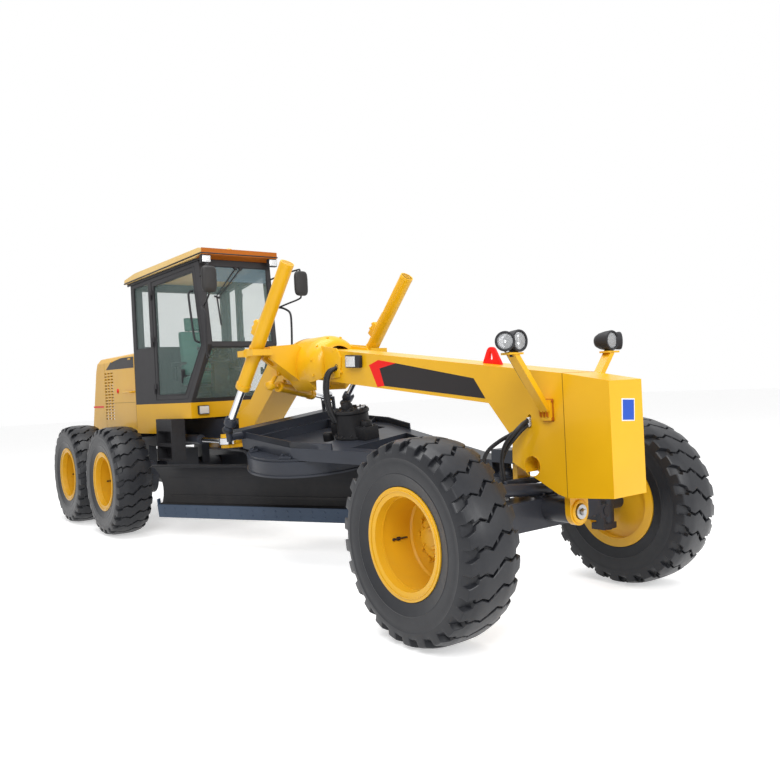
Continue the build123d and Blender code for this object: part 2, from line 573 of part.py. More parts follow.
blade = extrude(make_face(outline), amount=BLADE_L, dir=(1, 0, 0))
blade += slab_yz([(-BLADE_FACE, plate_low), (-BLADE_FACE, BLADE_BOTTOM + EDGE_H), (BLADE_T - 40, BLADE_BOTTOM + EDGE_H),
                  (BLADE_T - BLADE_FACE, plate_low)], BLADE_RIGHT, BLADE_LEFT)
for mid in RAIL_MIDS:
    blade += block(BLADE_RIGHT + 120, BLADE_LEFT - 120, 8, RAIL_FACE, mid - RAIL_HALF_H, mid + RAIL_HALF_H)
keep("blade", DRAWBAR_SEAT * BLADE_SEAT * blade)
keep("cutting_edge", DRAWBAR_SEAT * BLADE_SEAT * block(
    BLADE_RIGHT, BLADE_LEFT, -BLADE_FACE - EDGE_T, -BLADE_FACE, BLADE_BOTTOM, BLADE_BOTTOM + EDGE_H))


# ---------------------------------------------------------------- cylinders
def barrel_of(eye_end, open_end, radius, bore_r):
    """Closed tube from its eye end to the end that the rod leaves by."""
    tube = bar(eye_end, open_end, radius)
    a, b = Vector(*eye_end), Vector(*open_end)
    unit = (b - a).normalized()
    start = a + unit * 70
    end = b + unit * 5
    return tube - bar((start.X, start.Y, start.Z), (end.X, end.Y, end.Z), bore_r)


TRUNNION_R = 26.0
TRUNNION_HALF = 108.0       # half the length over both trunnion pins
for hand, side in SIDES:
    ball = to_world((-LIFT_BALL_BACK, side * LIFT_BALL_Y, LIFT_BALL_Z))
    pin = (back(TRUNNION_BACK), side * TRUNNION_Y, TRUNNION_Z)
    axis = swing_axis(pin, ball)
    reach = hypot(*(p - q for p, q in zip(pin, ball)))
    top = along(ball, pin, reach + BARREL_ABOVE)
    low = along(ball, pin, reach - BARREL_BELOW)
    tube = bar(top, low, BARREL_R)
    tube += bar(along(ball, pin, reach - 60), along(ball, pin, reach + 60), COLLAR_R)
    tube += bar(reach_out(pin, axis, -TRUNNION_HALF), reach_out(pin, axis, TRUNNION_HALF), TRUNNION_R)
    tube -= bar(along(top, low, 70), along(top, low, BARREL_ABOVE + BARREL_BELOW + 5), LIFT_ROD_R + RUN)
    keep(f"lift_barrel_{hand}", tube)
    # the rod stops short of its ball, which wanders a little as the drawbar swings
    rod = bar(along(ball, pin, LIFT_BALL_R + EYE_ROOM + 7), along(ball, pin, reach + BARREL_ABOVE - 260), LIFT_ROD_R)
    rod += bar(along(ball, pin, LIFT_BALL_R + EYE_ROOM), along(ball, pin, LIFT_BALL_R + 66), 58)
    keep(f"lift_rod_{hand}", rod)
    # yoke: a boss on the saddle's pin and a hoop that carries the barrel's trunnions
    yoke = along_x(pin[0] - 46, pin[0] + 46, side * YOKE_PIN_Y, TRUNNION_Z, 40)
    yoke += block(pin[0] - 46, pin[0] + 46, side * YOKE_PIN_Y, side * (TRUNNION_Y - HOOP_IN_Y), TRUNNION_Z - 30,
                  TRUNNION_Z + 30)
    yoke += block(pin[0] - HOOP_IN_X - 28, pin[0] + HOOP_IN_X + 28, side * (TRUNNION_Y - HOOP_IN_Y - 24),
                  side * (TRUNNION_Y + HOOP_IN_Y + 24), TRUNNION_Z - 30, TRUNNION_Z + 30)
    for near, far in ((-HOOP_IN_Y - 26, -HOOP_IN_Y), (HOOP_IN_Y, HOOP_IN_Y + 26)):
        yoke += bar(reach_out(pin, axis, near), reach_out(pin, axis, far), TRUNNION_R + 18)
    yoke -= block(pin[0] - HOOP_IN_X, pin[0] + HOOP_IN_X, side * (TRUNNION_Y - HOOP_IN_Y),
                  side * (TRUNNION_Y + HOOP_IN_Y), TRUNNION_Z - 80, TRUNNION_Z + 80)
    yoke -= bar(reach_out(pin, axis, -TRUNNION_HALF - 20), reach_out(pin, axis, TRUNNION_HALF + 20), TRUNNION_R + RUN)
    NODES["saddle"] += yoke

# cylinder that holds the drawbar sideways, from the saddle's right to the drawbar's left
SHIFT_R = 52.0
SHIFT_ROD_R = 28.0
SHIFT_EYE_R = SHIFT_PIN_R + 45.0        # roomy eye, since its pin wanders as the drawbar swings
SHIFT_IN = 290.0                        # rod's inner end, from the seat
shift_end = to_world(SHIFT_END)
shift_reach = hypot(*(p - q for p, q in zip(SHIFT_SEAT, shift_end)))
shift_barrel = barrel_of(along(SHIFT_SEAT, shift_end, 130), along(SHIFT_SEAT, shift_end, shift_reach * 0.71),
                         SHIFT_R, SHIFT_ROD_R + RUN)
shift_barrel += bar(SHIFT_SEAT, along(SHIFT_SEAT, shift_end, 135), 30) + Pos(*SHIFT_SEAT) * Sphere(SHIFT_SEAT_R + 18)
shift_barrel -= Pos(*SHIFT_SEAT) * Sphere(SHIFT_SEAT_R + RUN)
# the socket is open towards the saddle
shift_barrel -= bar(reach_out(SHIFT_SEAT, Vector(0, 0, 1), 8), reach_out(SHIFT_SEAT, Vector(0, 0.35, 0.94), 120), 90)
keep("shift_barrel", shift_barrel)
shift_rod = bar(along(SHIFT_SEAT, shift_end, SHIFT_IN), along(SHIFT_SEAT, shift_end, shift_reach - SHIFT_EYE_R - 4),
                SHIFT_ROD_R)
shift_rod += bar(reach_out(shift_end, SHIFT_AXIS, -20), reach_out(shift_end, SHIFT_AXIS, 20), SHIFT_EYE_R + 16)
shift_rod -= bar(reach_out(shift_end, SHIFT_AXIS, -30), reach_out(shift_end, SHIFT_AXIS, 30), SHIFT_EYE_R)
keep("shift_rod", shift_rod)

# ---------------------------------------------------------------- articulation cylinders
ART_Y = 380.0
ART_Z = 1155.0
ART_REAR_BACK = HITCH_REACH + 1250.0
ART_FRONT_BACK = HITCH_REACH - 310.0
ART_PIN_R = 26.0
EYE_DRIFT = 40.0            # room round the rod's pin
for hand, side in SIDES:
    tail = (back(ART_REAR_BACK), side * ART_Y, ART_Z)
    head = (back(ART_FRONT_BACK), side * ART_Y, ART_Z)
    barrel = barrel_of(along(tail, head, 75), along(tail, head, 840), 58, 30 + RUN)
    barrel += bar(tail, along(tail, head, 80), 34)
    barrel += along_z(tail[0], tail[1], ART_Z - 38, ART_Z + 38, 45)
    barrel -= along_z(tail[0], tail[1], ART_Z - 40, ART_Z + 40, ART_PIN_R + RUN)
    keep(f"hitch_barrel_{hand}", barrel)
    rod = bar(along(tail, head, 420), along(head, tail, 90), 30)
    rod += along_z(head[0], head[1], ART_Z - 34, ART_Z + 34, 96)
    rod -= along_z(head[0], head[1], ART_Z - 40, ART_Z + 40, ART_PIN_R + EYE_DRIFT)
    keep(f"hitch_rod_{hand}", rod)
    # ears on the front frame, above and below the rod's eye
    for z0, z1 in ((ART_Z - 78, ART_Z - 38), (ART_Z + 38, ART_Z + 78)):
        NODES["front_frame"] += block(head[0] - 60, head[0] + 60, side * (FRAME_HALF - 5), head[1], z0, z1)
        NODES["front_frame"] += along_z(head[0], head[1], z0, z1, 75)
    NODES["front_frame"] += along_z(head[0], head[1], ART_Z - 78, ART_Z + 78, ART_PIN_R)

# ---------------------------------------------------------------- rear frame
NOSE_HALF = 175.0
RAIL_FRONT_BACK = HITCH_REACH + 1340.0
NOSE_END = back(HITCH_REACH + 1550)
rear_frame = block(NOSE_END, HITCH_X - 185, -NOSE_HALF, NOSE_HALF, HITCH_LOW_Z, HITCH_HIGH_Z - 5)
rear_frame += block(HITCH_X - 950, HITCH_X - 450, -NOSE_HALF, NOSE_HALF, HITCH_HIGH_Z - 10, BASE_BOTTOM)
for z in (HITCH_LOW_Z + HITCH_LUG_T + 5, HITCH_HIGH_Z - 65):
    rear_frame += block(HITCH_X - 190, HITCH_X, -HITCH_LUG_R, HITCH_LUG_R, z, z + 60)
    rear_frame += along_z(HITCH_X, 0, z, z + 60, HITCH_LUG_R)
rear_frame += along_z(HITCH_X, 0, HITCH_LOW_Z - 8, HITCH_HIGH_Z + HITCH_LUG_T + 8, HITCH_PIN_R)
rear_frame += block(NOSE_END, back(RAIL_FRONT_BACK), -RAIL_IN, RAIL_IN, RAIL_BOTTOM, RAIL_TOP)
for x_mid in (TANDEM_X - 500, TAIL_X + 260):
    rear_frame += block(x_mid - 70, x_mid + 70, -RAIL_IN, RAIL_IN, RAIL_BOTTOM, RAIL_TOP)
for hand, side in SIDES:
    rear_frame += block(TAIL_X + 130, back(RAIL_FRONT_BACK), side * RAIL_IN, side * RAIL_OUT, RAIL_BOTTOM, RAIL_TOP)
    rear_frame += block(back(CAB_REAR_X + 240), back(CAB_REAR_X + 100), side * RAIL_OUT, side * HOOD_HALF,
                        RAIL_TOP - 60, RAIL_TOP)
    # clevis of the articulation cylinder's barrel
    for z0, z1 in ((ART_Z - 68, ART_Z - 38 - RUN), (ART_Z + 38 + RUN, ART_Z + 68)):
        rear_frame += block(back(RAIL_FRONT_BACK), back(ART_REAR_BACK), side * (ART_Y - 42), side * (ART_Y + 42), z0, z1)
        rear_frame += along_z(back(ART_REAR_BACK), side * ART_Y, z0, z1, 42)
    rear_frame += along_z(back(ART_REAR_BACK), side * ART_Y, ART_Z - 68, ART_Z + 68, ART_PIN_R)
keep("rear_frame", rear_frame)

# bumper across the rails' ends, with the tow hitch
TOW_R = 25.0
TOW_BACK = 58.0             # tow pin ahead of the tail, and the eye's own radius
TOW_LOW_Z = 985.0
TOW_H = 130.0
BUMPER_LOW_Z = 930.0
bumper = block(TAIL_X + 85, TAIL_X + 130 - RUN, -HOOD_HALF, HOOD_HALF, BUMPER_LOW_Z, RAIL_TOP)
bumper += block(TAIL_X + TOW_BACK, TAIL_X + 90, -TOW_BACK, TOW_BACK, TOW_LOW_Z, TOW_LOW_Z + TOW_H)
bumper += along_z(TAIL_X + TOW_BACK, 0, TOW_LOW_Z, TOW_LOW_Z + TOW_H, TOW_BACK)
bumper -= along_z(TAIL_X + TOW_BACK, 0, TOW_LOW_Z - 5, TOW_LOW_Z + TOW_H + 5, TOW_R)
keep("rear_bumper", bumper)

# ---------------------------------------------------------------- rear axle and tandem cases
axle = along_y(TANDEM_X, -TANDEM_IN, TANDEM_IN, TYRE_R, 130)
axle += block(TANDEM_X - 230, TANDEM_X + 230, -230, 230, 500, 960)
for hand, side in SIDES:
    axle += block(TANDEM_X - 140, TANDEM_X + 140, side * (RAIL_IN + 5), side * (RAIL_OUT - 5), TYRE_R + 60, RAIL_BOTTOM)
for hand, side in SIDES:
    half = TANDEM_PITCH / 2
    case = block(TANDEM_X - half, TANDEM_X + half, side * TANDEM_IN, side * TANDEM_OUT,
                 TYRE_R - TANDEM_HALF_H, TYRE_R + TANDEM_HALF_H)
    for x_mid in (TANDEM_X - half, TANDEM_X + half):
        case += along_y(x_mid, side * TANDEM_IN, side * TANDEM_OUT, TYRE_R, TANDEM_HALF_H)
        case += along_y(x_mid, side * TANDEM_OUT, side * (TRACK / 2 - RIM_DISC_IN - RIM_DISC_T - 6), TYRE_R, 115)
        case += along_y(x_mid, side * TANDEM_OUT, side * (TRACK / 2 - SPINDLE_IN), TYRE_R, SPINDLE_R)
    axle += case
keep("rear_axle", axle)

# ---------------------------------------------------------------- hood and engine
HOOD_FRONT = CAB_REAR_X + GAP
HOOD_TAIL = WHEELBASE + TAIL_REACH - 30.0      # foot of the hood's leaning rear face
HOOD_LEAN = (270.0, 880.0)  # how far forward the rear face leans over this height
LEAN_DEG = degrees(atan2(*HOOD_LEAN))


def hood_form(inset):
    """Outer form of the hood, shrunk by inset on its sides, top and tail."""
    top = HOOD_TOP - inset
    half = HOOD_HALF - inset
    tail = HOOD_TAIL - inset
    knee = RAIL_TOP + HOOD_LEAN[1]
    side_view = slab_xz([(back(HOOD_FRONT), RAIL_TOP), (back(tail), RAIL_TOP), (back(tail - HOOD_LEAN[0]), knee),
                         (back(tail - HOOD_LEAN[0] - 75), top - 90), (back(tail - HOOD_LEAN[0] - 190), top - 20),
                         (back(HOOD_FRONT), top)], -half, half)
    end_view = slab_yz([(-half, 0), (half, 0), (half, top - 90), (half - 26, top - 28), (half - 90, top),
                        (90 - half, top), (26 - half, top - 28), (-half, top - 90)],
                       back(tail) - 50, back(HOOD_FRONT) + 50)
    return side_view & end_view


hood = hood_form(0) - hood_form(HOOD_WALL)
VENT = {"first_back": HOOD_TAIL - 965.0, "step_back": 135.0, "columns": 3, "width": 100.0,
        "low": 1405.0, "step_z": 44.0, "rows": 16, "height": 18.0}
vents = []
for column in range(VENT["columns"]):
    for row in range(VENT["rows"]):
        x_mid = back(VENT["first_back"] + column * VENT["step_back"])
        z_low = VENT["low"] + row * VENT["step_z"]
        vents.append(block(x_mid - VENT["width"] / 2, x_mid + VENT["width"] / 2, -HOOD_HALF - 5, HOOD_HALF + 5,
                           z_low, z_low + VENT["height"]))
hood -= Compound(children=vents)
# the grille's own frame: z climbs the hood's rear face, x runs into the hood
GRILLE_SEAT = Pos(back(HOOD_TAIL), 0, RAIL_TOP) * Rot(0, LEAN_DEG, 0)
GRILLE_HALF = 470.0
GRILLE_LOW = 100.0
GRILLE_HIGH = 760.0
GRILLE_BARS = 13
hood -= GRILLE_SEAT * block(-40, HOOD_WALL + 15, -GRILLE_HALF, GRILLE_HALF, GRILLE_LOW, GRILLE_HIGH)
keep("hood", hood)
grille = block(2, 22, -GRILLE_HALF + RUN, GRILLE_HALF - RUN, GRILLE_LOW + RUN, GRILLE_HIGH - RUN)
grille -= block(-5, 30, -GRILLE_HALF + 30, GRILLE_HALF - 30, GRILLE_LOW + 30, GRILLE_HIGH - 30)
for i in range(GRILLE_BARS):
    z = GRILLE_LOW + 30 + (i + 0.5) * (GRILLE_HIGH - GRILLE_LOW - 60) / GRILLE_BARS
    grille += block(4, 20, -GRILLE_HALF + 25, GRILLE_HALF - 25, z - 7, z + 7)
for y in (-150, 150):
    grille += block(4, 20, y - 7, y + 7, GRILLE_LOW + 25, GRILLE_HIGH - 25)
keep("rear_grille", GRILLE_SEAT * grille)
keep("engine", block(back(HOOD_TAIL - 490), back(HOOD_FRONT + 202), -330, 330, RAIL_TOP, 2000))

# ---------------------------------------------------------------- cab
def cab_half(distance):
    """Half the cab's width this far behind the front axle."""
    return CAB_WAIST_HALF + CAB_TAPER * (distance - CAB_WAIST_X)


def cab_top(distance):
    slope = (CAB_HEAD_Z - CAB_REAR_Z) / (CAB_REAR_X - CAB_HEAD_X)
    return CAB_HEAD_Z - slope * (distance - CAB_HEAD_X)


def side_strip(side, inset, thickness, z0, z1):
    """Upright wall that follows the cab's tapered side."""
    near, far = CAB_WAIST_X, CAB_REAR_X
    return slab_xy([(back(near), side * (cab_half(near) - inset)), (back(far), side * (cab_half(far) - inset)),
                    (back(far), side * (cab_half(far) - inset - thickness)),
                    (back(near), side * (cab_half(near) - inset - thickness))], z0, z1)


def prism(points):
    """Outline in distances back and heights, through the whole cab."""
    return slab_xz([(back(d), z) for d, z in points], -1200, 1200)


def door_outline(inset):
    hinge = B_PILLAR_X - PILLAR / 2 - inset
    low = CAB_FLOOR_Z + 45 + inset
    return [(hinge, low), (CAB_SILL_X + 62 + inset, low), (CAB_WAIST_X + 88 + inset, CAB_WAIST_Z),
            (CAB_HEAD_X + 88 + inset, cab_top(CAB_HEAD_X) - 80 - inset), (hinge, cab_top(hinge) - 80 - inset)]


cab_outline = [(CAB_SILL_X, CAB_FLOOR_Z), (CAB_WAIST_X, CAB_WAIST_Z), (CAB_HEAD_X, CAB_HEAD_Z),
               (CAB_REAR_X, CAB_REAR_Z), (CAB_REAR_X, CAB_FLOOR_Z)]
QUARTER = (B_PILLAR_X + PILLAR / 2, CAB_REAR_X - PILLAR)
QUARTER_LOW = 2330.0


def quarter_outline(inset):
    near, far = QUARTER[0] + inset, QUARTER[1] - inset
    return [(near, QUARTER_LOW + inset), (near, cab_top(near) - 80 - inset),
            (far, cab_top(far) - 80 - inset), (far, QUARTER_LOW + inset)]


def between_sides(inset):
    """Space between the cab's two side walls, a little narrower by inset."""
    near, far = CAB_WAIST_X - 200, CAB_REAR_X + 200
    near_half, far_half = cab_half(near) - CAB_WALL - inset, cab_half(far) - CAB_WALL - inset
    return slab_xy([(back(near), -near_half), (back(near), near_half), (back(far), far_half), (back(far), -far_half)],
                   CAB_FLOOR_Z, CAB_HEAD_Z + 20)


cab_sides = []
for hand, side in SIDES:
    wall = side_strip(side, 0, CAB_WALL, CAB_FLOOR_Z, CAB_HEAD_Z + 20) & prism(cab_outline)
    wall -= prism(door_outline(0))
    wall -= prism(quarter_outline(0))
    cab_sides.append(wall)
REAR_PANE = (570.0, 2370.0, 3110.0)    # half-width, foot and head of the rear pane
cab_bars = joined([
    prism([(CAB_WAIST_X + 2, CAB_WAIST_Z - 25), (CAB_WAIST_X + 2, CAB_WAIST_Z + 25),
           (CAB_WAIST_X + 55, CAB_WAIST_Z + 30), (CAB_WAIST_X + 55, CAB_WAIST_Z - 40)]),
    prism([(CAB_HEAD_X - 8, CAB_HEAD_Z - 90), (CAB_HEAD_X, CAB_HEAD_Z),
           (CAB_HEAD_X + 70, cab_top(CAB_HEAD_X + 70)), (CAB_HEAD_X + 62, CAB_HEAD_Z - 90)]),
    prism([(CAB_SILL_X, CAB_FLOOR_Z), (CAB_SILL_X - 26, CAB_FLOOR_Z + 42),
           (CAB_SILL_X + 40, CAB_FLOOR_Z + 42), (CAB_SILL_X + 62, CAB_FLOOR_Z)]),
    prism([(CAB_REAR_X, CAB_FLOOR_Z), (CAB_REAR_X - CAB_WALL, CAB_FLOOR_Z),
           (CAB_REAR_X - CAB_WALL, CAB_REAR_Z), (CAB_REAR_X, CAB_REAR_Z)])
    - block(back(CAB_REAR_X) - 5, back(CAB_REAR_X - CAB_WALL) + 5, -REAR_PANE[0], REAR_PANE[0], *REAR_PANE[1:]),
])
keep("cab_frame", joined(cab_sides) + (cab_bars & between_sides(-8)))

HINGE_OUT = 14.0            # hinge line outboard of the cab's face
HINGE_R = 12.0
HINGE_PIN_R = 5.0
HINGE_HEIGHTS = (1800.0, 2400.0, 3000.0)
for hand, side in SIDES:
    door = side_strip(side, 4, CAB_WALL - 12, CAB_FLOOR_Z, CAB_HEAD_Z) & prism(door_outline(GAP))
    window = door_outline(GAP + 55)
    door -= prism(window)
    # hinges: the lower knuckle and pin are the cab's, the upper knuckle is the door's
    hinge_back = B_PILLAR_X - PILLAR / 2
    hinge_x, face = back(hinge_back), cab_half(hinge_back)
    hinge_y = side * (face + HINGE_OUT)
    for z in HINGE_HEIGHTS:
        cab_part = along_z(hinge_x, hinge_y, z - 60, z - RUN, HINGE_R)
        cab_part += block(hinge_x - 40, hinge_x, side * (face - 3), side * (face + HINGE_OUT), z - 60, z - RUN)
        cab_part += along_z(hinge_x, hinge_y, z - 30, z + 50, HINGE_PIN_R)
        NODES["cab_frame"] += cab_part
        door += along_z(hinge_x, hinge_y, z, z + 60, HINGE_R)
        door += block(hinge_x + 3, hinge_x + 40, side * (face - 13), side * (face + HINGE_OUT), z, z + 60)
        door -= along_z(hinge_x, hinge_y, z - 5, z + 65, HINGE_PIN_R + RUN)
    keep(f"door_{hand}", door)
    keep(f"door_glass_{hand}", side_strip(side, 20, GLASS_T, CAB_FLOOR_Z, CAB_HEAD_Z) & prism(door_outline(GAP + 55 + RUN)))

# fixed panes: two quarter panes, upper and lower windscreen, rear pane
panes = [side_strip(side, 20, GLASS_T, CAB_FLOOR_Z, CAB_HEAD_Z) & prism(quarter_outline(RUN)) for _, side in SIDES]
front_panes = prism([(CAB_WAIST_X + 14, CAB_WAIST_Z + 26 + RUN), (CAB_WAIST_X + 20, CAB_WAIST_Z + 26.6 + RUN),
                     (CAB_HEAD_X + 8, CAB_HEAD_Z - 90 - RUN), (CAB_HEAD_X + 2, CAB_HEAD_Z - 90 - RUN)])
front_panes += prism([(CAB_SILL_X - 20, CAB_FLOOR_Z + 42 + RUN), (CAB_SILL_X - 13, CAB_FLOOR_Z + 42 + RUN),
                      (CAB_WAIST_X + 17, CAB_WAIST_Z - 31 - RUN), (CAB_WAIST_X + 10, CAB_WAIST_Z - 28 - RUN)])
panes += (front_panes & between_sides(RUN)).solids()
panes.append(block(back(CAB_REAR_X - 24), back(CAB_REAR_X - 30), -REAR_PANE[0] + RUN, REAR_PANE[0] - RUN,
                   REAR_PANE[1] + RUN, REAR_PANE[2] - RUN))
keep("cab_glass", Compound(children=panes))

roof_side = slab_xz([(back(CAB_HEAD_X - 150), cab_top(CAB_HEAD_X - 150) + 22), (back(CAB_HEAD_X), CAB_HEAD_Z),
                     (back(CAB_REAR_X + 90), cab_top(CAB_REAR_X + 90)), (back(CAB_REAR_X + 90), cab_top(CAB_REAR_X) + 50),
                     (back(CAB_REAR_X - 200), cab_top(CAB_REAR_X - 200) + ROOF_T), (back(CAB_HEAD_X - 90), CAB_HEAD_Z + ROOF_T + 8),
                     (back(CAB_HEAD_X - 140), CAB_HEAD_Z + ROOF_T)], -900, 900)
roof_plan = slab_xy([(back(CAB_HEAD_X - 150), -500), (back(CAB_HEAD_X - 150), 500), (back(CAB_REAR_X + 90), cab_half(CAB_REAR_X) + 48),
                     (back(CAB_REAR_X + 90), -cab_half(CAB_REAR_X) - 48)], CAB_REAR_Z - 60, CAB_HEAD_Z + 200)
# cooling unit on the roof: (ahead of the cab's rear face, height over the roof's foot)
unit_outline = [(390, ROOF_T - 30), (390, 150), (490, 190), (940, 190), (1060, ROOF_T - 2)]
roof_unit = slab_xz([(back(CAB_REAR_X - x), cab_top(CAB_REAR_X - x) + z) for x, z in unit_outline], -330, 330)
keep("cab_roof", (roof_side & roof_plan) + roof_unit)

base = slab_xy([(back(CAB_SILL_X), -cab_half(CAB_SILL_X)), (back(CAB_SILL_X), cab_half(CAB_SILL_X)),
                (back(CAB_REAR_X), cab_half(CAB_REAR_X)), (back(CAB_REAR_X), -cab_half(CAB_REAR_X))],
               BASE_BOTTOM, CAB_FLOOR_Z)
STEP_DOWN = CAB_REAR_X - 540.0
skirt = slab_xy([(back(STEP_DOWN), -cab_half(STEP_DOWN)), (back(STEP_DOWN), cab_half(STEP_DOWN)),
                 (back(CAB_REAR_X), cab_half(CAB_REAR_X)), (back(CAB_REAR_X), -cab_half(CAB_REAR_X))],
                RAIL_TOP, BASE_BOTTOM + 2)
skirt -= block(back(CAB_REAR_X) - 10, back(STEP_DOWN) + 10, -RAIL_IN, RAIL_IN, RAIL_TOP - 5, BASE_BOTTOM + 5)
keep("cab_base", base + skirt)

SEAT_X = back(CAB_REAR_X - 640)         # middle of the seat's cushion
WHEEL_X = back(CAB_SILL_X + 300)        # steering wheel's middle
seat = block(SEAT_X - 90, SEAT_X + 80, -130, 130, CAB_FLOOR_Z, 1820)
seat += block(SEAT_X - 250, SEAT_X + 260, -250, 250, 1820, 1960)
seat += slab_xz([(SEAT_X - 260, 1900), (SEAT_X - 150, 1960), (SEAT_X - 230, 2560), (SEAT_X - 330, 2560)], -240, 240)
seat += slab_xz([(SEAT_X - 320, 2540), (SEAT_X - 250, 2560), (SEAT_X - 265, 2740), (SEAT_X - 345, 2740)], -130, 130)
console = box_bar((WHEEL_X + 110, 0, CAB_FLOOR_Z - 60), (WHEEL_X + 10, 0, 2180), 220, 160)
console += Plane(origin=(WHEEL_X, 0, 2230), z_dir=(-0.35, 0, 0.94)) * Torus(185, 16)
console += bar((WHEEL_X + 15, 0, 2150), (WHEEL_X - 2, 0, 2232), 26)
for turn in (0, 120, 240):
    spoke = Rot(0, 0, turn) * (Pos(92, 0, 0) * Box(185, 24, 14))
    console += Plane(origin=(WHEEL_X, 0, 2230), z_dir=(-0.35, 0, 0.94)) * spoke
console -= block(WHEEL_X - 300, WHEEL_X + 400, -300, 300, 1000, CAB_FLOOR_Z)
keep("cab_interior", seat + console)

# ---------------------------------------------------------------- boxes with steps under the cab
TANK_IN = 530.0
TANK_OUT = 700.0
tanks = None
for hand, side in SIDES:
    tank = block(HITCH_X - 1030, HITCH_X - 530, side * TANK_IN, side * TANK_OUT, 905, BASE_BOTTOM)
    for z in (930, 1120):
        tank -= block(HITCH_X - 990, HITCH_X - 570, side * (TANK_OUT - 110), side * (TANK_OUT + 5), z, z + 150)
    tanks = tank if tanks is None else tanks + tank
keep("step_boxes", tanks)

# ---------------------------------------------------------------- roof furniture, mirrors, rails, lamps
BEACON_BACK = CAB_HEAD_X + 390.0
mirrors = None
for hand, side in SIDES:
    root = (back(CAB_HEAD_X + 35), side * (cab_half(CAB_HEAD_X) - 20), 3080)
    tip = (back(CAB_HEAD_X - 530), side * 595, 3150)
    low_root = (back(CAB_HEAD_X + 5), side * (cab_half(CAB_HEAD_X) - 20), 2700)
    mirror = bar(root, tip, 11) + bar(low_root, (tip[0], tip[1], 2810), 11)
    mirror += bar((tip[0], tip[1], 2810), tip, 11)
    mirror += block(tip[0] - 25, tip[0] + 12, tip[1] - 85, tip[1] + 85, 2840, 3120)
    mirrors = mirror if mirrors is None else mirrors + mirror
work_lamps = along_z(back(BEACON_BACK), 120, cab_top(BEACON_BACK) + ROOF_T - 20, cab_top(BEACON_BACK) + 250, 48)
for hand, side in SIDES:
    work_lamps += block(back(CAB_HEAD_X - 160), back(CAB_HEAD_X - 90), side * 380, side * 500, CAB_HEAD_Z - 85,
                        CAB_HEAD_Z + 25)
    work_lamps += block(back(CAB_SILL_X - 50), back(CAB_SILL_X), side * 300, side * 440, 1455, 1575)
keep("mirrors_and_work_lamps", (mirrors - NODES["cab_frame"]) + (work_lamps - NODES["cab_roof"]))

# lifting eye, seated on the beam's top
EYE_R = 30.0
EYE_T = 30.0
EYE_Z = 1890.0
EYE_BACK = 400.0
eye = slab_xz([(back(EYE_BACK + 130), 1790), (back(EYE_BACK - 130), 1760), (back(EYE_BACK - 35), 1955),
               (back(EYE_BACK + 45), 1960)], -EYE_T / 2, EYE_T / 2)
eye -= along_y(back(EYE_BACK), -EYE_T, EYE_T, EYE_Z, EYE_R)
keep("lifting_eye", eye - NODES["front_frame"])

os.makedirs("parts", exist_ok=True)
for name, shape in NODES.items():
    export_step(shape, f"parts/{name}.step")
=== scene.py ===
import json
from math import atan2, copysign, cos, pi, radians, sin

import bmesh
import bpy
from mathutils import Matrix, Vector


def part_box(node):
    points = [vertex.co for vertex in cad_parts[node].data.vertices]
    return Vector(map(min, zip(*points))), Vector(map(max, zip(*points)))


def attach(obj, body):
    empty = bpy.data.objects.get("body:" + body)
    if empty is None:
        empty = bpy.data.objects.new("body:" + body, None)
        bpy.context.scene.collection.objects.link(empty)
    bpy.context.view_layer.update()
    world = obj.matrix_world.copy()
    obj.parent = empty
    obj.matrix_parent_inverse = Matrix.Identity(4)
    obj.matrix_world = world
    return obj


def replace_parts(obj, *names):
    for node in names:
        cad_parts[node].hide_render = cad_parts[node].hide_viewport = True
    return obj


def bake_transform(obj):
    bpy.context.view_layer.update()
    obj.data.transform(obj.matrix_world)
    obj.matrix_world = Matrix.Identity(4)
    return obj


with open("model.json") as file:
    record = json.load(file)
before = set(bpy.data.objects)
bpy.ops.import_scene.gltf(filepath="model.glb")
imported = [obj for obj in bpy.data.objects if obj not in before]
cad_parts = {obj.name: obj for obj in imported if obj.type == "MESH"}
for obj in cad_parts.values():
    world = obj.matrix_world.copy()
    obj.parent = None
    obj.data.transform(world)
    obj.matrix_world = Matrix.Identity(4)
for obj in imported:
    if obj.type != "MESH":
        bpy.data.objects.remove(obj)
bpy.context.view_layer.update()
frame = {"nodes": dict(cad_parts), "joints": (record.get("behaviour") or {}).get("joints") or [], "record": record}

NODES = frame["nodes"]
JOINTS = {joint["name"]: joint for joint in frame["joints"]}
SIDES = (("left", 1), ("right", -1))
WHEELS = [(f"{end}_{hand}", side) for end in ("front", "mid", "rear") for hand, side in SIDES]


def middle(node):
    low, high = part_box(node)
    return (low + high) / 2


AXLE = middle("rim_front_left").x          # x of the front axle


def at(behind, y, z):
    """Point given in millimetres, with its distance behind the front axle."""
    return Vector((AXLE - behind / 1000, y / 1000, z / 1000))


def mm(x, y, z):
    return Vector((x / 1000, y / 1000, z / 1000))


def axes_matrix(origin, x_axis, z_axis):
    z = Vector(z_axis).normalized()
    x = Vector(x_axis)
    x = (x - z * x.dot(z)).normalized()
    turn = Matrix((x, z.cross(x), z)).transposed().to_4x4()
    return Matrix.Translation(origin) @ turn


# the drawbar's own axes: its ball is the origin, the circle turns about z
ball = Vector(JOINTS["drawbar_lift"]["pos_m"])
circle_mid = Vector(JOINTS["circle_turn"]["pos_m"])
circle_axis = Vector(JOINTS["circle_turn"]["axis"])
DRAWBAR = axes_matrix(ball, ball - circle_mid, circle_axis)
CIRCLE_LOCAL = DRAWBAR.inverted() @ circle_mid
ring_top = circle_mid - circle_axis * CIRCLE_LOCAL.z
BLADE = axes_matrix(ring_top, JOINTS["blade_shift"]["axis"], circle_axis)


